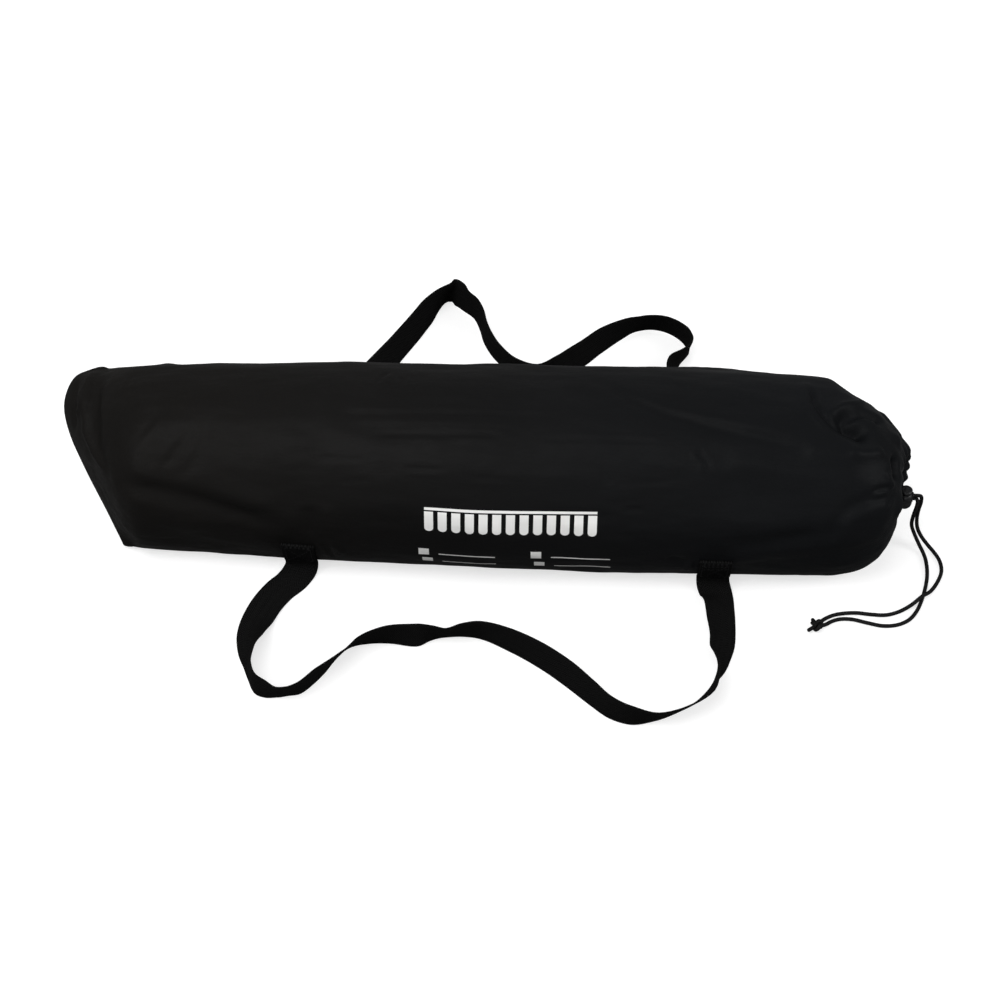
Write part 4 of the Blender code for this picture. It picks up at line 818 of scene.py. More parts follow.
def lathe(name, profile, centre, steps=32):
    """A turned piece from (radius, height) pairs in mm."""
    bm = bmesh.new()
    verts = [bm.verts.new((r * MM, 0, z * MM)) for r, z in profile]
    edges = [bm.edges.new(pair) for pair in zip(verts, verts[1:])]
    bmesh.ops.spin(bm, geom=verts + edges, cent=(0, 0, 0), axis=(0, 0, 1), dvec=(0, 0, 0),
                   angle=2 * math.pi, steps=steps, use_merge=True)
    bmesh.ops.remove_doubles(bm, verts=bm.verts, dist=0.000005)
    bmesh.ops.recalc_face_normals(bm, faces=bm.faces)
    bmesh.ops.translate(bm, vec=Vector(centre) * MM, verts=bm.verts)
    obj = piece_of(name, bm)
    obj.data.set_sharp_from_angle(angle=math.radians(50))
    return obj


def finish_piece(obj, material, body, slot, *nodes):
    """Gives a piece its material and the body that it moves with, and hides the nodes it stands for. Its slot
    is not used.
    """
    obj.data.materials.append(material)
    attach(obj, body)
    if nodes:
        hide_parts(*nodes)
    return obj


def thicken(obj, thick, offset=0.0):
    """Gives a sheet its thickness (mm)."""
    wall = obj.modifiers.new("Cloth", "SOLIDIFY")
    wall.thickness = thick * MM
    wall.offset = offset
    wall.use_even_offset = False


def webbing_weave():
    """25 mm polypropylene webbing: black, matt, with small chevron ribs painted lighter on top as caught
    light and darker between as shade, and firm edges."""
    size = bpy.context.scene.awning_handles
    made, tree, shader = finish_of("Polypropylene webbing, black, woven")
    uv, along, across = cloth_place(tree)
    # ribs lean one way and then the other, in rows 3 mm wide
    lean = maths(tree, "MULTIPLY", maths(tree, "PINGPONG", across, 3.1 * MM), 0.9)
    rib = wave(tree, maths(tree, "ADD", along, lean), size.rib)
    height = maths(tree, "MULTIPLY_ADD", wave(tree, across, 1.55 * MM), 0.35, rib)
    fuzz = grain(tree, stretched(tree, uv, (1.0, 2.5, 1.0)), 420.0, 3.0, 0.6)
    # painted highlight and shade: the colour is lighter on the ribs' tops and darker between them, over
    # random fuzz
    tone = ramp(tree, maths(tree, "MULTIPLY_ADD", fuzz, 1.6, height), -0.9, 2.6)
    set_inputs(tree, shader, {
        "Base Color": two_tone(tree, tone, size.dark, size.light),
        "Roughness": ramp(tree, fuzz, 0.3, 0.7, 0.62, 0.8), "Specular IOR Level": 0.02})
    under = relief(tree, shader, fuzz, 0.12 * MM, 0.6)
    relief(tree, shader, height, 0.16 * MM, 0.9, under)
    return made


def thread():
    """Bonded polyester sewing thread, black, with a slight shine."""
    made, tree, shader = finish_of("Polyester thread, black")
    twist = grain(tree, object_place(tree), 2600.0, 2.0)
    set_inputs(tree, shader, {"Base Color": two_tone(tree, twist, "0C0C0D", "1A1A1B"), "Roughness": 0.5,
                              "Specular IOR Level": 0.16})
    return made


def braided_cord(name, diameter, low, high):
    """Braided polyester: two sets of strands wound over each other, matt, with a soft shine on each."""
    size = bpy.context.scene.awning_cord
    made, tree, shader = finish_of(name)
    uv, along, around = cloth_place(tree)
    # four strands each way
    turns = maths(tree, "MULTIPLY", around, 2 * math.pi * 4 / (math.pi * diameter))
    run = maths(tree, "MULTIPLY", along, 2 * math.pi / size.braid)
    left, right = (maths(tree, "SINE", maths(tree, way, turns, run)) for way in ("ADD", "SUBTRACT"))
    height = maths(tree, "MAXIMUM", left, right)
    fuzz = grain(tree, uv, 900.0, 3.0, 0.6)
    tone = ramp(tree, maths(tree, "MULTIPLY_ADD", fuzz, 0.8, height), -0.2, 1.9)
    set_inputs(tree, shader, {"Base Color": two_tone(tree, tone, low, high), "Roughness": 0.66,
                              "Specular IOR Level": 0.15})
    relief(tree, shader, maths(tree, "MULTIPLY_ADD", fuzz, 0.4, height), 0.18 * MM, 0.9)
    return made


def moulded_plastic(name, low, high, rough):
    """Moulded plastic: a fine even satin from the tool, a little duller where it was handled."""
    made, tree, shader = finish_of(name)
    spot = object_place(tree)
    worn = grain(tree, spot, 160.0, 4.0, 0.6)
    set_inputs(tree, shader, {
        "Base Color": two_tone(tree, worn, low, high),
        "Roughness": ramp(tree, worn, 0.3, 0.7, rough - 0.05, rough + 0.08),
        "IOR": 1.48, "Specular IOR Level": 0.4})
    relief(tree, shader, grain(tree, spot, 2800.0, 2.0), 0.02 * MM, 0.6)
    return made


def bag_facet(x, part, angle):
    """A point of the plain load at a station and angle, and the way down along it."""
    first, step = (CORNER_FRONT, (90 - CORNER_FRONT) / 5) if part == "front_low" else (0.0, 15.0)
    low = min(first + step * math.floor((angle - first) / step + 0.001), 90.0 - step)
    a, b = Vector(bag_point(x, part, low)), Vector(bag_point(x, part, low + step))
    return a.lerp(b, (angle - low) / step), (a - b).normalized()


def on_bag(bay, part, angle):
    """The middle of a handle's bay on the plain load: the point, the way out and the way down."""
    low, high = (bag_facet(station, part, angle) for station in bay)
    spot = low[0].lerp(high[0], 0.5)
    down = low[1].lerp(high[1], 0.5).normalized()
    out = (high[0] - low[0]).normalized().cross(down).normalized()
    if out.y * (-1 if part == "front_low" else 1) < 0:
        out.negate()
    return spot, out, down


def strap_rows(stations, part, angles, width, thick):
    """A whole handle's middle line, the way across it and how firmly each row is sewn down, in mm."""
    loop = []
    for x, y, z, toward, lean in stations:
        toward, lean = math.radians(toward), math.radians(lean)
        across = Vector((math.cos(lean) * math.cos(toward), math.cos(lean) * math.sin(toward),
                         math.sin(lean)))
        loop.append((Vector((x, y, z)) + across * width / 2, across, 0.0))
    ends = []
    for bay, near in zip(BAYS, (loop[0], loop[-1])):
        across = Vector((1 if near[1].x > 0 else -1, 0, 0))
        rows = []
        for angle in np.linspace(angles[0], angles[-1], 7):
            spot, out, down = on_bag(bay, part, angle)
            spot += out * (0.4 + thick / 2)
            if not rows:
                rows.append((spot + down * 3.4, across, 0.35))
            rows.append((spot, across, 1.0))
        ends.append(rows)
    return ends[0][::-1] + loop + ends[1]


def strap_profile(width):
    """Points round the webbing's section: across it (mm), and up from its middle in thicknesses."""
    edge = width / 2
    half = [(a, 0.5) for a in np.linspace(-edge + 0.5, edge - 0.5, FACE_POINTS)]
    half += [(edge - 0.1, 0.3), (edge, 0.0), (edge - 0.1, -0.3)]
    round_it = half + [(-a, -b) for a, b in half]
    return np.array(round_it + round_it[:1]).T


def strap(name, stations, part, angles):
    """A handle as one strip of webbing, from one sewn end round the loop to the other."""
    size = bpy.context.scene.awning_handles
    width, thick = size.width / MM, size.thick / MM
    middle, leans, sewn = zip(*strap_rows(stations, part, angles, width, thick))
    steps = 5
    middle, leans = np.array(smooth_route(middle, steps)), np.array(smooth_route(leans, steps))
    sewn = np.interp(np.arange(len(middle)) / steps, np.arange(len(sewn)), sewn)
    run = np.gradient(middle, axis=0)
    run /= np.linalg.norm(run, axis=1, keepdims=True)
    leans -= run * (leans * run).sum(axis=1, keepdims=True)
    leans /= np.linalg.norm(leans, axis=1, keepdims=True)
    face = np.cross(run, leans)
    low = middle[:, 2] - np.abs(leans[:, 2]) * width / 2 - np.abs(face[:, 2]) * thick / 2
    middle[:, 2] += np.maximum(0.2 - low, 0)
    # the sewn ends are doubled, and the change is spread over five rows
    firm = np.where(sewn > 0.5, 1.55, 1.0)
    firm = np.convolve(np.pad(firm, 2, mode="edge"), np.ones(5) / 5, mode="valid")
    across, lift = strap_profile(width)
    grid = (middle[:, None] + leans[:, None] * across[None, :, None]
            + face[:, None] * (lift[None, :, None] * thick * firm[:, None, None]))
    outwards = -1 if part == "front_low" else 1
    for i in np.flatnonzero(sewn > 0):
        out = Vector(face[i] if face[i][1] * outwards > 0 else -face[i])
        for j, point in enumerate(grid[i]):
            base = Vector(middle[i] + leans[i] * across[j])
            spot = CLOTH["tree"].find_nearest(base * MM)[0] / MM
            gap = (base - spot).dot(out)
            move = max(min((0.35 + thick * firm[i] / 2 - gap), 4), -3) * min(sewn[i] * 1.4, 1)
            grid[i][j] = point + np.array(out * move)
    obj = from_grid(name, grid, along_route(middle), across)
    cap_ends(obj)
    return obj, grid, along_route(middle), face, sewn, outwards


def cap_ends(obj):
    """Closes the open rings at a piece's ends."""
    bm = bmesh.new()
    bm.from_mesh(obj.data)
    rims = [edge for edge in bm.edges if edge.is_boundary]
    bmesh.ops.holes_fill(bm, edges=rims, sides=0)
    bmesh.ops.recalc_face_normals(bm, faces=bm.faces)
    bm.to_mesh(obj.data)
    bm.free()


def stitch_row(points, ways, pitch=3.1):
    """Places of stitches along a line: (middle, direction, up)."""
    route = along_route(points)
    count = max(int(route[-1] / pitch), 1)

    def read(rows, at):
        return Vector([np.interp(at, route, rows[:, c]) for c in range(3)])

    made = []
    for k in range(count):
        at = (k + 0.5) * route[-1] / count
        run = read(points, min(at + 0.8, route[-1])) - read(points, max(at - 0.8, 0))
        made.append((read(points, at), run, read(ways, at)))
    return made


def stitches(name, places, long=2.3, thick=0.26):
    """Stitches as small rounded lengths of thread (mm) that sit half sunk in the webbing."""
    bm = bmesh.new()
    size = Matrix.Diagonal((long / 2 * MM, thick * 1.2 * MM, thick * MM, 1))
    for spot, run, up in places:
        x = run.normalized()
        y = up.cross(x).normalized()
        turn = Matrix((x, y, x.cross(y))).transposed().to_4x4()
        bmesh.ops.create_uvsphere(bm, u_segments=6, v_segments=5, radius=1.0,
                                  matrix=Matrix.Translation(spot * MM) @ turn @ size)
    return piece_of(name, bm)


def sewn_lines(grid, route, face, sewn, outwards, extras):
    """The box and cross that hold a handle's ends, as stitch places on the outer face."""
    side, top, foot = SEAM_SIDE, SEAM_TOP, SEAM_FOOT
    box = [((top, -side), (top, side)), ((foot, -side), (foot, side)), ((top, -side), (foot, -side)),
           ((top, side), (foot, side)), ((top, -side), (foot, side)), ((top, side), (foot, -side))]
    half = FACE_POINTS + EDGE_POINTS
    far_face = slice(half + FACE_POINTS - 1, half - 1, -1)
    held = np.flatnonzero(sewn > 0.5)
    ends = [held[held < len(sewn) / 2], held[held > len(sewn) / 2]]
    places = []
    for end, index in enumerate(ends):
        start, stop = route[index[[0, -1] if end == 0 else [-1, 0]]]
        faces_out = face[index[2]][1] * outwards > 0

        def on_strap(share, across):
            row = np.interp(start + (stop - start) * share, route[index], index)
            i = int(min(row, len(grid) - 2))
            line = grid[i] * (1 - (row - i)) + grid[i + 1] * (row - i)
            strip = line[:FACE_POINTS] if faces_out else line[far_face]
            where = (across + 1) / 2 * (FACE_POINTS - 1)
            k = int(min(max(where, 0), FACE_POINTS - 2))
            point = strip[k] * (1 - (where - k)) + strip[k + 1] * (where - k)
            return point, face[i] if faces_out else -face[i]

        for a, b in box + [((extra, -side), (extra, side)) for extra in extras[end]]:
            pairs = [on_strap(a[0] + (b[0] - a[0]) * k / 10, a[1] + (b[1] - a[1]) * k / 10)
                     for k in range(11)]
            points, ways = zip(*pairs)
            places += stitch_row(np.array(points), np.array(ways))
    return places


def make_handles():
    """Both handles, each one strip of webbing, with the stitching that holds their ends."""
    web, sewing = webbing_weave(), thread()
    for side, stations, part, angles, extras in (
            ("front", FRONT_HANDLE, "front_low", FRONT_SEWN, ((0.05,), (0.05, 0.18, 0.31))),
            ("rear", REAR_HANDLE, "rear_low", REAR_SEWN, ((0.05,), (0.05,)))):
        obj, *laid = strap(f"{side}_handle_webbing", stations, part, angles)
        obj.data.materials.append(web)
        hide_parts(f"{side}_handle_loop", f"{side}_handle_left_end", f"{side}_handle_right_end")
        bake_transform(obj)
        seams = stitches(f"{side}_handle_stitches", sewn_lines(*laid, extras))
        finish_piece(seams, sewing, "bag", "webbing")


def make_mouth():
    """The hem drawn up round the mouth: a sleeve of cloth, gathered into small pleats by the cord inside."""
    # it reaches six degrees past the cord's bends at either end
    start = HEM_GAP_AT + HEM_GAP - 6
    sweep = 360 - 2 * HEM_GAP + 12
    steps = 132
    points, radii = [], []
    for i in range(steps + 1):
        t = i / steps
        a = math.radians(start + sweep * t)
        ring = HEM_RING + 0.5 * math.sin(5 * a + 0.7) + 0.35 * math.sin(11 * a + 2.0)
        points.append((MOUTH[0] + 0.6 * math.sin(3 * a + 1.0), MOUTH[1] + math.cos(a) * ring,
                       MOUTH[2] + math.sin(a) * ring))
        pleat = 0.11 * math.cos(17 * 2 * math.pi * t + 1.6 * math.sin(6 * t))
        crease = 0.06 * math.cos(41 * 2 * math.pi * t)
        close = min(t / 0.03, (1 - t) / 0.03, 1.0)
        radii.append(HEM_RADIUS * 1.02 * (1 + pleat + crease) * (0.62 + 0.38 * close))
    grid = tube_grid(points, radii, 20, side=(1, 0, 0))
    hem = from_grid("mouth_hem_sleeve", grid, along_route(points), np.linspace(0, 21, 21))
    cap_ends(hem)
    finish_piece(hem, bpy.data.materials["Coated nylon oxford, black"], "bag", "coated_nylon", "mouth_hem")


def lock_bend(end, heading, goal):
    """The cord's way from the end of its ring in the hem, through a soft bend, to the lock."""
    run = Vector((1, 0, 0))
    first, last = end + heading * 2.2, goal - run * 3.0
    middle = first.lerp(last, 0.5) + (heading - run) * 0.7
    return smooth_route([end, first, middle, last], 5) + [goal]


def drawstring_route():
    """Once round the mouth inside its hem, then both ends through the lock, in mm."""
    run, up = Vector((1, 0, 0)), Vector((0, 0, 1))
    lock, mouth = Vector(LOCK), Vector(MOUTH)
    start, sweep = HEM_GAP_AT + HEM_GAP, 360 - 2 * HEM_GAP
    turns = [math.radians(start + sweep * i / 56) for i in range(57)]
    ring = [mouth + Vector((0, math.cos(a), math.sin(a))) * HEM_RING for a in turns]
    upper, lower = lock + up * CORD_PITCH / 2, lock - up * CORD_PITCH / 2
    into_low = Vector((0, math.sin(turns[0]), -math.cos(turns[0])))
    into_high = Vector((0, -math.sin(turns[-1]), math.cos(turns[-1])))
    before, after = run * 6.2, run * (TAIL_START - LOCK[0] - 0.3)
    path = [lower + after, lower] + lock_bend(ring[0], into_low, lower - before)[::-1]
    return path + ring[1:-1] + lock_bend(ring[-1], into_high, upper - before) + [upper, upper + after]


def make_cords():
    """The drawstring, its two tails and their knot."""
    size = bpy.context.scene.awning_cord
    cord = braided_cord("Polyester cord, black, braided", size.diameter, size.dark, size.light)
    radius = size.diameter / MM / 2
    loop = cord_piece("drawstring_in_hem", drawstring_route(), radius, tuck=(False, False))
    finish_piece(loop, cord, "bag", "black_cord", "drawstring_loop")
    knot = make_knot(cord, radius)
    for side, tail, level in (("left", LEFT_TAIL, -1), ("right", RIGHT_TAIL, 1)):
        origin = Vector((TAIL_START, LOCK[1], LOCK[2] + level * CORD_PITCH / 2))
        line = [origin] + smooth_route([origin + Vector((0.8, 0, 0)), *tail], 5)
        for point in line:
            point.z = max(point.z, radius + 0.15)
        obj = cord_piece(f"cord_tail_{side}", line, radius, tuck=(False, True))
        finish_piece(obj, cord, "bag", "black_cord", f"drawstring_tail_{side}")
        length = along_route(line)[-1] * MM


def make_knot(cord, radius):
    """An overhand knot drawn tight, with the cords' cut ends standing out of it."""
    middle = Vector(KNOT)
    points = []
    for k in range(73):
        t = 2 * math.pi * (k / 72) * 0.985
        points.append(middle + Vector(((math.sin(t) + 2 * math.sin(2 * t)) * 1.28,
                                       (math.cos(t) - 2 * math.cos(2 * t)) * 1.28, -math.sin(3 * t) * 1.7)))
    knot = cord_piece("cord_knot", points, radius * 1.02)
    for number, way, length in ((1, (-0.83, -0.55, -0.15), 8.75), (2, (-0.46, 0.88, -0.15), 7.7)):
        way = Vector(way).normalized()
        end = cord_piece(f"cord_end_{number}", [middle + way * d for d in (1.5, 3.0, 5.0, length)], radius)
        finish_piece(end, cord, "bag", "black_cord")
    return finish_piece(knot, cord, "bag", "black_cord", "drawstring_knot")


def make_lock():
    """Ball-shaped cord lock: a barrel with two ringed openings for the cords and a sprung button."""
    plastic = moulded_plastic("Moulded acetal, black", "0E0E10", "151517", 0.36)
    bore, radius, top, bottom = LOCK_BORE, LOCK_RADIUS, LOCK_TOP, LOCK_BOTTOM
    body = lathe("lock_barrel", (
        (0, bottom + 1.05), (bore, bottom + 1.05), (bore, top), (4.0, top), (4.5, top - 0.25),
        (5.3, top - 1.2), (radius, top - 2.8), (radius, -1.0), (5.35, -1.5), (5.35, -2.1), (radius, -2.6),
        (radius, bottom + 4.0), (5.4, bottom + 2.2), (4.6, bottom + 0.9), (3.2, bottom + 0.15),
        (1.2, bottom), (0, bottom)), LOCK)
    finish_piece(body, plastic, "cord_lock", "black_plastic", "cord_lock_body")
    for side, out in (("hem", -1), ("tail", 1)):
        rim = cord_piece(f"lock_rim_{side}", lock_opening(out), 0.5, around=8, tuck=(False, False))
        finish_piece(rim, plastic, "cord_lock", "black_plastic")
    cap = BUTTON_TOP - LOCK[2]
    button = lathe("lock_button", (
        (0, cap), (1.6, cap), (2.0, cap - 0.22), (2.5, cap - 0.02), (3.0, cap - 0.26), (3.5, cap - 0.08),
        (4.3, cap - 0.5), (4.8, cap - 1.1), (4.8, cap - 1.8), (POST_RADIUS, cap - 1.9),
        (POST_RADIUS, POST_FOOT), (0, POST_FOOT)), LOCK)
    finish_piece(button, plastic, "lock_button", "black_plastic", "cord_lock_button")
    low, high = (corner.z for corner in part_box("cord_lock_spring"))
    for name, side in (("front", -1), ("rear", 1)):
        leg = post_leg(f"lock_button_leg_{name}", side, high / MM - LOCK[2] + SPRING_GAP)
        finish_piece(leg, plastic, "lock_button", "black_plastic")
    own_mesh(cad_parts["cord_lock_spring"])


def lock_opening(out):
    """The rounded slot round both cords, on the side of the barrel that out points to, in mm."""
    ring = []
    for k in range(25):
        a = 2 * math.pi * k / 24
        wide = 2.3 * math.cos(a)
        high = CORD_PITCH / 2 * np.sign(round(math.sin(a), 6)) + 2.3 * math.sin(a)
        reach = math.sqrt(max((LOCK_RADIUS - 0.05) ** 2 - wide ** 2, 1))
        ring.append((LOCK[0] + out * reach, LOCK[1] + wide, LOCK[2] + high))
    return ring


def post_leg(name, side, foot):
    """One of the two legs of the button's post, which pass the cords on either side."""
    bm = bmesh.new()
    head = POST_FOOT + 0.1
    bmesh.ops.create_cone(bm, cap_ends=True, segments=32, radius1=POST_RADIUS, radius2=POST_RADIUS,
                          depth=head - foot, matrix=Matrix.Translation((0, 0, (head + foot) / 2)))
    bmesh.ops.bisect_plane(bm, geom=bm.verts[:] + bm.edges[:] + bm.faces[:], plane_co=(0, side * LEG_FLAT, 0),
                           plane_no=(0, -side, 0), clear_outer=True)
    bmesh.ops.holes_fill(bm, edges=[edge for edge in bm.edges if edge.is_boundary], sides=0)
    place = Matrix.Translation(Vector(LOCK) * MM) @ Matrix.Scale(MM, 4)
    bmesh.ops.transform(bm, matrix=place, verts=bm.verts)
    return piece_of(name, bm, smooth=False)


def awning_fabric():
    """Polyester oxford, dark grey, coated on the back: a plain weave of 0.8 mm, dull, with a faint shine."""
    size = bpy.context.scene.awning_contents
    made, tree, shader = finish_of("Polyester oxford, dark grey, coated")
    uv, along, across = cloth_place(tree)
    weave = plain_weave(tree, along, across, 0.8 * MM)
    cloud = grain(tree, uv, 14.0, 3.0)
    tone = ramp(tree, maths(tree, "MULTIPLY_ADD", cloud, 2.0, weave), -0.6, 2.4)
    set_inputs(tree, shader, {"Base Color": two_tone(tree, tone, size.sheet_dark, size.sheet_light),
                              "Roughness": ramp(tree, cloud, 0.3, 0.7, 0.55, 0.7)})
    relief(tree, shader, weave, 0.05 * MM, 0.7)
    return made


def zinc_plate():
    """Steel tube and wire, zinc plated: bright, drawn along its length, with a slightly clouded plating."""
    made, tree, shader = finish_of("Steel, zinc plated")
    spot = object_place(tree)
    drawn = grain(tree, stretched(tree, spot, (6.0, 900.0, 900.0)), 1.0, 3.0)
    cloud = grain(tree, spot, 90.0, 3.0, 0.6)
    set_inputs(tree, shader, {"Base Color": two_tone(tree, cloud, "A9ADB2", "C6C9CB"),
                              "Roughness": ramp(tree, drawn, 0.3, 0.7, 0.26, 0.42), "Metallic": 1.0})
    relief(tree, shader, drawn, 0.01 * MM, 0.5)
    return made


def moulded_rubber():
    """Nitrile rubber, moulded: near black and dull, with a grey bloom and the fine grain of the mould."""
    made, tree, shader = finish_of("Nitrile rubber, black, moulded")
    spot = object_place(tree)
    bloom = grain(tree, spot, 60.0, 4.0, 0.6)
    set_inputs(tree, shader, {
        "Base Color": two_tone(tree, ramp(tree, bloom, 0.4, 0.75), "121212", "20201F"),
        "Roughness": ramp(tree, bloom, 0.3, 0.7, 0.58, 0.78)})
    relief(tree, shader, grain(tree, spot, 1500.0, 2.0), 0.03 * MM, 0.6)
    return made


def shock_sheath():
    """Elastic cord with a woven polyester sheath: a close spiral of strands round it."""
    made, tree, shader = finish_of("Shock cord, black, woven sheath")
    spot = object_place(tree)
    x, y, z = node(tree, "ShaderNodeSeparateXYZ", i0=spot).outputs[:3]
    lean = maths(tree, "ADD", maths(tree, "MULTIPLY", y, 1.4), z)
    strand = wave(tree, maths(tree, "ADD", x, lean), 1.6 * MM)
    set_inputs(tree, shader, {
        "Base Color": two_tone(tree, ramp(tree, strand, -1.0, 1.0), "0A0A0B", "19191A"),
        "Roughness": ramp(tree, grain(tree, spot, 700.0), 0.3, 0.7, 0.6, 0.76)})
    relief(tree, shader, strand, 0.1 * MM, 0.8)
    return made


def roll_place():
    """Middle and radius of the rolled awning (mm), from the straps round it."""
    low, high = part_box("roll_strap_left")
    middle = (low + high) / 2 / MM
    return middle.y, middle.z, (high.z - low.z) / 2 / MM - STRAP_ROOM


def folded_section(panels, reach, fold, between):
    """The folded sheet's section: panels that lie on each other, with a round fold from each to the next."""
    cross = []
    for k in range(panels):
        way = 1 if k % 2 == 0 else -1
        cross += [(way * reach * t, between * (k + 0.5)) for t in (-1.0, 0.0, 1.0)]
        if k < panels - 1:
            turns = [math.pi * a for a in (-0.25, 0.0, 0.25)]
            cross += [(way * (reach + fold * math.cos(a)), between * (k + 1) + fold * math.sin(a))
                      for a in turns]
    return np.array(cross)


def make_roll():
    """The awning's sheet: folded in six to the bag's length, then rolled up from one end."""
    size = bpy.context.scene.awning_contents
    mid_y, mid_z, outer = roll_place()
    low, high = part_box("awning_roll")
    half, middle = (high.x - low.x) / 2 / MM, (high.x + low.x) / 2 / MM
    width, long = size.sheet_width / MM, size.sheet_length / MM
    panels = round(width / (2 * half))
    pitch = math.pi * (outer ** 2 - ROLL_CORE ** 2) / long
    between = pitch / (panels + 0.6)
    fold = between / 2
    cross = folded_section(panels, half - fold - 0.2, fold, between)
    last = len(cross) - 1
    run = along_route(cross)

    def place(u, v):
        turn = (np.sqrt(ROLL_CORE ** 2 + pitch * (u * long) / math.pi) - ROLL_CORE) * 2 * math.pi / pitch
        x, up = cross[np.round(v * last).astype(int)].T
        r = np.maximum(ROLL_CORE + pitch * turn / (2 * math.pi) - pitch + up, 0.6 + 0.2 * up)
        return np.column_stack([middle + x, mid_y + r * np.cos(turn), mid_z + r * np.sin(turn)]) * MM

    obj = wrapped("awning_sheet", 300, last, place,
                  lambda u, v: (u * long * MM, run[round(v * last)] * MM), closed=False)
    thicken(obj, SHEET_THICK)
    return finish_piece(obj, awning_fabric(), "bag", "coated_nylon", "awning_roll")


def make_roll_straps(web):
    """Two webbing straps round the roll, each with its end lying over its start."""
    mid_y, mid_z, outer = roll_place()
    half, thick = 10.0, 0.35
    edge = [(half, -0.6), (half, 0.6), (half - 0.3, 1), (0, 1), (0.3 - half, 1), (-half, 0.6), (-half, -0.6),
            (0.3 - half, -1), (0, -1), (half - 0.3, -1), (half, -0.6)]
    made = []
    for side in ("left", "right"):
        low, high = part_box(f"roll_strap_{side}")
        middle = (low.x + high.x) / 2 / MM
        rows = []
        for i in range(73):
            t = 1.15 * i / 72
            a = 2 * math.pi * t + 0.9
            r = outer + 0.45 + thick + 0.76 * eased(min(max((t - 0.9) / 0.08, 0.0), 1.0))
            rows.append([(middle + x, mid_y + (r + thick * up) * math.cos(a),
                          mid_z + (r + thick * up) * math.sin(a)) for x, up in edge])
        rows = np.array(rows)
        band = from_grid(f"roll_strap_webbing_{side}", rows, along_route(rows[:, 3]),
                         along_route([(x, thick * up, 0) for x, up in edge]))
        cap_ends(band)
        made.append(finish_piece(band, web, "bag", "webbing", f"roll_strap_{side}"))
    return made


def hank_line(straight, outer, deep, wide, step):
    """A rope's turns round its hank, in three layers: along it (mm), across it in turns, and up (mm)."""
    line = []
    for layer in range(3):
        for turn in range(deep):
            last = turn == deep - 1
            r = outer - wide / 2 - 0.05 - layer * step
            across = turn if layer % 2 == 0 else deep - 1 - turn
            ahead = across + (1 if layer % 2 == 0 else -1) * (not last)
            deeper = r - step * (last and layer < 2)
            right = [math.pi * (0.5 - k / 10) for k in range(11)]
            left = [math.pi * (-0.5 - k / 10) for k in range(11)]
            line += [(straight + r * math.cos(a), across, r * math.sin(a)) for a in right]
            line += [(straight * (1 - k / 2), across + (ahead - across) * k / 4, -r) for k in range(1, 4)]
            line += [(-straight + r * math.cos(a), ahead, r * math.sin(a)) for a in left]
            line += [(straight * (k / 2 - 1), ahead, r + (deeper - r) * k / 4) for k in range(1, 4)]
    return line


def hank_tie(name, middle, half, outer):
    """A band 10 mm wide round a hank's middle, with rounded corners."""
    loop = []
    for k in range(33):
        cos, sin = math.cos(2 * math.pi * k / 32), math.sin(2 * math.pi * k / 32)
        corner = (abs(cos) ** 8 + abs(sin) ** 8) ** -0.125
        loop.append((middle.y + half * cos * corner, middle.z + (outer + 0.2) * sin * corner))
    rows = np.array([[(middle.x + x, y, z) for x in (-5.0, -2.5, 0.0, 2.5, 5.0)] for y, z in loop])
    band = from_grid(name, rows, along_route(rows[:, 2]), np.linspace(0, 10, 5))
    thicken(band, 0.35)
    return band


def make_hanks():
    """Guy ropes, each wound into a hank in three layers, with a tie round its middle."""
    size = bpy.context.scene.awning_contents
    rope = braided_cord("Polyester guy rope, dark, braided", size.rope, size.rope_dark, size.rope_light)
    tape = hook_tape()
    wide = size.rope / MM
    step = wide + 0.1
    for number in range(1, 5):
        low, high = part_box(f"guy_rope_{number}")
        middle = (low + high) / 2 / MM
        reach, outer = (high.x - low.x) / 2 / MM, (high.z - low.z) / 2 / MM
        deep = int(((high.y - low.y) / MM) // step)
        points = [Vector((middle.x + x, middle.y + (at - (deep - 1) / 2) * step, middle.z + z))
                  for x, at, z in hank_line(reach - outer, outer, deep, wide, step)]
        obj = cord_piece(f"guy_rope_hank_{number}", points, wide / 2, around=8)
        finish_piece(obj, rope, "bag", "guy_rope", f"guy_rope_{number}")
        band = hank_tie(f"guy_rope_tie_{number}", middle, deep * step / 2 + 0.25, outer)
        finish_piece(band, tape, "bag", "webbing")
        along_route(points)[-1] * MM


def hook_tape():
    """Hook-and-loop tape, black: a nap of fine loops that takes the shine away."""
    made, tree, shader = finish_of("Nylon hook-and-loop tape, black")
    nap = grain(tree, object_place(tree), 1100.0, 4.0, 0.7)
    set_inputs(tree, shader, {"Base Color": two_tone(tree, nap, "0B0B0C", "1F1F20"),
                              "Roughness": ramp(tree, nap, 0.3, 0.7, 0.72, 0.88)})
    relief(tree, shader, nap, 0.2 * MM, 0.8)
    return made


def dress_solids():
    """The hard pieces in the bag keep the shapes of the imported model, and get their real finishes."""
    steel, rubber = zinc_plate(), moulded_rubber()
    plastic = moulded_plastic("Moulded polypropylene, black", "121213", "1C1C1E", 0.42)
    finishes = (("section", steel), ("_tip", steel), ("peg_", steel), ("spring", steel), ("_foot", rubber),
                ("_pad", rubber), ("runner", plastic), ("_cap", plastic), ("_knob", plastic),
                ("shock_cord", shock_sheath()))
    for name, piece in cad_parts.items():
        for part, made in finishes:
            if part in name:
                piece.data.materials.clear()
                piece.data.materials.append(made)


def make_contents():
    """What the bag holds, from what such an awning packs with."""
    sheet = make_roll()
    straps = make_roll_straps(bpy.data.materials["Polypropylene webbing, black, woven"])
    make_hanks()
    dress_solids()


def colour_property(name, about, colour):
    """A colour that a user would change, from its hex value."""
    return FloatVectorProperty(name=name, description=about, default=linear(colour), size=3, min=0, max=1,
                               subtype="COLOR")


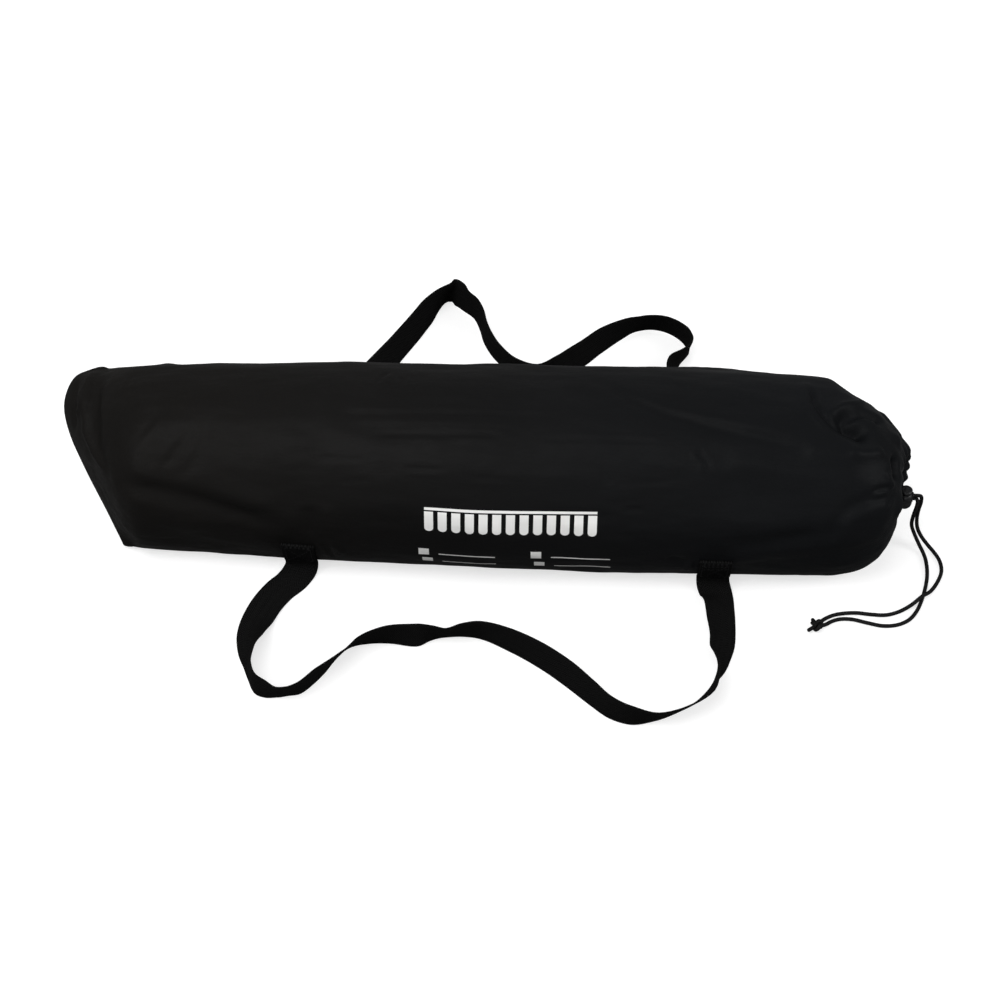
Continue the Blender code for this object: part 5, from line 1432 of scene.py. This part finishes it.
class AwningView(bpy.types.PropertyGroup):
    """Camera and light."""
    elevation: FloatProperty(name="Elevation", description="Height of the camera above the floor's plane",
                             default=math.radians(49.0), subtype="ANGLE")
    turn: FloatProperty(name="Turn", description="Turn of the camera about the vertical",
                        default=math.radians(2.6), subtype="ANGLE")
    distance: FloatProperty(name="Distance", description="From the camera to the awning",
                            default=1.9, unit="LENGTH")
    lamp: FloatProperty(name="Lamp", description="Power of the main lamp", default=17.0, unit="POWER")


class AwningBag(bpy.types.PropertyGroup):
    """The bag's cloth."""
    crumple: FloatProperty(name="Crumple", description="Height of the cloth's soft unevenness",
                           default=1.5 * MM, unit="LENGTH")
    roughness: FloatProperty(name="Roughness", description="Of the coated cloth", default=0.44,
                             subtype="FACTOR", min=0, max=1)
    sheen: FloatProperty(name="Sheen", description="Specular level of the coated cloth", default=0.035,
                         subtype="FACTOR", min=0, max=1)
    grid_along: IntProperty(name="Along", description="Divisions of the cloth along the bag", default=340,
                            min=40)
    grid_around: IntProperty(name="Around", description="Divisions of the cloth round the bag", default=200,
                             min=40)
    # warm and cool tones carry a painted tint of the light along the bag; dark and light are random tone
    warm_dark: colour_property("Warm, dark", "Darker tone of the cloth near its closed end", "121110")
    warm_light: colour_property("Warm, light", "Lighter tone of the cloth near its closed end", "181716")
    cool_dark: colour_property("Cool, dark", "Darker tone of the cloth near its mouth", "101112")
    cool_light: colour_property("Cool, light", "Lighter tone of the cloth near its mouth", "151618")
    ink: colour_property("Ink", "Colour of the printed pattern", "F4F4F2")


class AwningHandles(bpy.types.PropertyGroup):
    """The webbing handles."""
    width: FloatProperty(name="Width", description="Of the webbing", default=25 * MM, unit="LENGTH")
    thick: FloatProperty(name="Thickness", description="Of the webbing", default=1.3 * MM, unit="LENGTH")
    rib: FloatProperty(name="Rib", description="From one rib of the weave to the next", default=1.7 * MM,
                       unit="LENGTH")
    # painted shade between the ribs and painted highlight on them
    dark: colour_property("Dark", "Of the webbing, between its ribs", "030303")
    light: colour_property("Light", "Of the webbing, on its ribs", "1C1C1C")


class AwningCord(bpy.types.PropertyGroup):
    """The drawstring."""
    diameter: FloatProperty(name="Diameter", description="Of the cord", default=3.0 * MM, unit="LENGTH")
    braid: FloatProperty(name="Braid", description="Length of one turn of the braid's strands",
                         default=5.0 * MM, unit="LENGTH")
    dark: colour_property("Dark", "Of the cord, between its strands", "040404")
    light: colour_property("Light", "Of the cord, on its strands", "141415")


class AwningContents(bpy.types.PropertyGroup):
    """What is packed in the bag."""
    sheet_width: FloatProperty(name="Sheet width", description="Of the open awning, along the vehicle",
                               default=3.0, unit="LENGTH")
    sheet_length: FloatProperty(name="Sheet length", description="Of the open awning, away from the vehicle",
                                default=1.5, unit="LENGTH")
    rope: FloatProperty(name="Guy rope", description="Diameter of the guy ropes", default=2.5 * MM,
                        unit="LENGTH")
    sheet_dark: colour_property("Sheet, dark", "Of the awning's sheet, between its threads", "26282A")
    sheet_light: colour_property("Sheet, light", "Of the awning's sheet, on its threads", "3A3C3E")
    rope_dark: colour_property("Rope, dark", "Of the guy ropes, between their strands", "1C1D1F")
    rope_light: colour_property("Rope, light", "Of the guy ropes, on their strands", "34363A")


class AwningStageOperator(bpy.types.Operator):
    """Makes the floor, the lamps, the sky and the camera"""
    bl_idname = "awning.stage"
    bl_label = "Make the stage"

    def execute(self, context):
        make_stage()
        return {"FINISHED"}


class AwningBagOperator(bpy.types.Operator):
    """Makes the bag from one sheet of cloth with its folds"""
    bl_idname = "awning.bag"
    bl_label = "Make the bag"

    def execute(self, context):
        make_bag()
        return {"FINISHED"}


class AwningHandlesOperator(bpy.types.Operator):
    """Makes the two webbing handles and their stitching"""
    bl_idname = "awning.handles"
    bl_label = "Make the handles"

    def execute(self, context):
        make_handles()
        return {"FINISHED"}


class AwningMouthOperator(bpy.types.Operator):
    """Makes the gathered hem round the mouth"""
    bl_idname = "awning.mouth"
    bl_label = "Make the mouth"

    def execute(self, context):
        make_mouth()
        return {"FINISHED"}


class AwningCordsOperator(bpy.types.Operator):
    """Makes the drawstring, its tails and their knot"""
    bl_idname = "awning.cords"
    bl_label = "Make the drawstring"

    def execute(self, context):
        make_cords()
        return {"FINISHED"}


class AwningLockOperator(bpy.types.Operator):
    """Makes the cord lock"""
    bl_idname = "awning.lock"
    bl_label = "Make the cord lock"

    def execute(self, context):
        make_lock()
        return {"FINISHED"}


class AwningContentsOperator(bpy.types.Operator):
    """Makes the rolled awning and the ropes in the bag, and dresses its poles, pegs and suction cups"""
    bl_idname = "awning.contents"
    bl_label = "Make the contents"

    def execute(self, context):
        make_contents()
        return {"FINISHED"}


def seen_white(tree):
    """White to the camera and through glass. A mirrored ray sees little of it: the walls are dark."""
    path = node(tree, "ShaderNodeLightPath")
    straight = maths(tree, "MAXIMUM", path.outputs["Is Camera Ray"], path.outputs["Is Transmission Ray"])
    return maths(tree, "MAXIMUM", straight, maths(tree, "MULTIPLY", path.outputs["Is Glossy Ray"], 0.08))


def make_camera():
    """The camera where the photograph's was."""
    eye, forward, right, up = (Vector(axis) for axis in photo_axes())
    camera = bpy.data.objects.new("camera", bpy.data.cameras.new("camera"))
    camera.data.sensor_width = SENSOR
    camera.data.lens = FOCAL / IMAGE * SENSOR
    camera.matrix_world = Matrix.Translation(eye * MM) @ Matrix((right, up, -forward)).transposed().to_4x4()
    bpy.context.scene.collection.objects.link(camera)
    bpy.context.scene.camera = camera


def paper_sweep():
    """A white paper sweep, lit by the lamps, which stays white where they no longer reach it."""
    made, tree, shader = finish_of("Paper sweep, white")
    # pale to the camera, darker to the light that it throws back on the bag, as in a studio with dark walls
    seen = node(tree, "ShaderNodeLightPath").outputs["Is Camera Ray"]
    set_inputs(tree, shader, {"Base Color": two_tone(tree, seen, "5C5C5C", "BABABA"), "Roughness": 0.9})
    away = node(tree, "ShaderNodeVectorMath", {"operation": "LENGTH"}, i0=object_place(tree)).outputs["Value"]
    level = maths(tree, "MULTIPLY", seen_white(tree), ramp(tree, away, 0.7, 2.4, 0.66, 1.0))
    glow = node(tree, "ShaderNodeEmission", i0=(1, 1, 1, 1), i1=level).outputs[0]
    both = node(tree, "ShaderNodeAddShader", i0=shader.outputs[0], i1=glow).outputs[0]
    tree.links.new(both, tree.nodes["Material Output"].inputs[0])
    return made


def make_lamps():
    """Soft rectangles of light round the awning."""
    power = bpy.context.scene.awning_view.lamp
    for name, spot, aim, wide, high, share in LAMPS:
        lamp = bpy.data.lights.new(name, "AREA")
        lamp.shape = "RECTANGLE"
        lamp.size, lamp.size_y = wide, high
        lamp.energy = power * share
        obj = bpy.data.objects.new(name, lamp)
        obj.location = spot
        obj.rotation_euler = (Vector(aim) - Vector(spot)).to_track_quat("-Z", "Y").to_euler()
        # the back lamp only fills, and leaves no shine along the top
        obj.visible_glossy = name != "lamp_back"
        bpy.context.scene.collection.objects.link(obj)


def make_stage():
    """Camera, floor, lamps and sky."""
    make_camera()
    bm = bmesh.new()
    bmesh.ops.create_grid(bm, x_segments=1, y_segments=1, size=6.0)
    floor = piece_of("floor", bm, smooth=False)
    floor.data.materials.append(paper_sweep())
    make_lamps()
    world = bpy.data.worlds.new("studio")
    world.use_nodes = True
    tree = world.node_tree
    white = seen_white(tree)
    strength = node(tree, "ShaderNodeMix", {"data_type": "FLOAT"}, i0=white, i2=0.2, i3=1.0).outputs[0]
    tree.links.new(strength, tree.nodes["Background"].inputs[1])
    tree.nodes["Background"].inputs[0].default_value = (1, 1, 1, 1)
    bpy.context.scene.world = world
    bpy.context.scene.view_settings.view_transform = "Standard"


GROUPS = {"awning_view": AwningView, "awning_bag": AwningBag, "awning_handles": AwningHandles,
          "awning_cord": AwningCord, "awning_contents": AwningContents}
OPERATORS = (AwningStageOperator, AwningBagOperator, AwningHandlesOperator, AwningMouthOperator,
             AwningCordsOperator, AwningLockOperator, AwningContentsOperator)


class AwningPanel(bpy.types.Panel):
    """Lists what makes the awning, in the 3D view's sidebar"""
    bl_idname = "VIEW3D_PT_awning"
    bl_label = "Vehicle Side Awning"
    bl_space_type = "VIEW_3D"
    bl_region_type = "UI"
    bl_category = "Awning"

    def draw(self, context):
        for operator in OPERATORS:
            self.layout.operator(operator.bl_idname)


def register():
    for name, group in GROUPS.items():
        bpy.utils.register_class(group)
        setattr(bpy.types.Scene, name, PointerProperty(type=group))
    for operator in (*OPERATORS, AwningPanel):
        bpy.utils.register_class(operator)


def unregister():
    for operator in reversed((*OPERATORS, AwningPanel)):
        bpy.utils.unregister_class(operator)
    for name, group in GROUPS.items():
        delattr(bpy.types.Scene, name)
        bpy.utils.unregister_class(group)


def main():
    register()
    bpy.ops.awning.stage()
    bpy.ops.awning.cords()
    bpy.ops.awning.bag()
    bpy.ops.awning.handles()
    bpy.ops.awning.mouth()
    bpy.ops.awning.lock()
    bpy.ops.awning.contents()


if __name__ == "__main__":
    main()
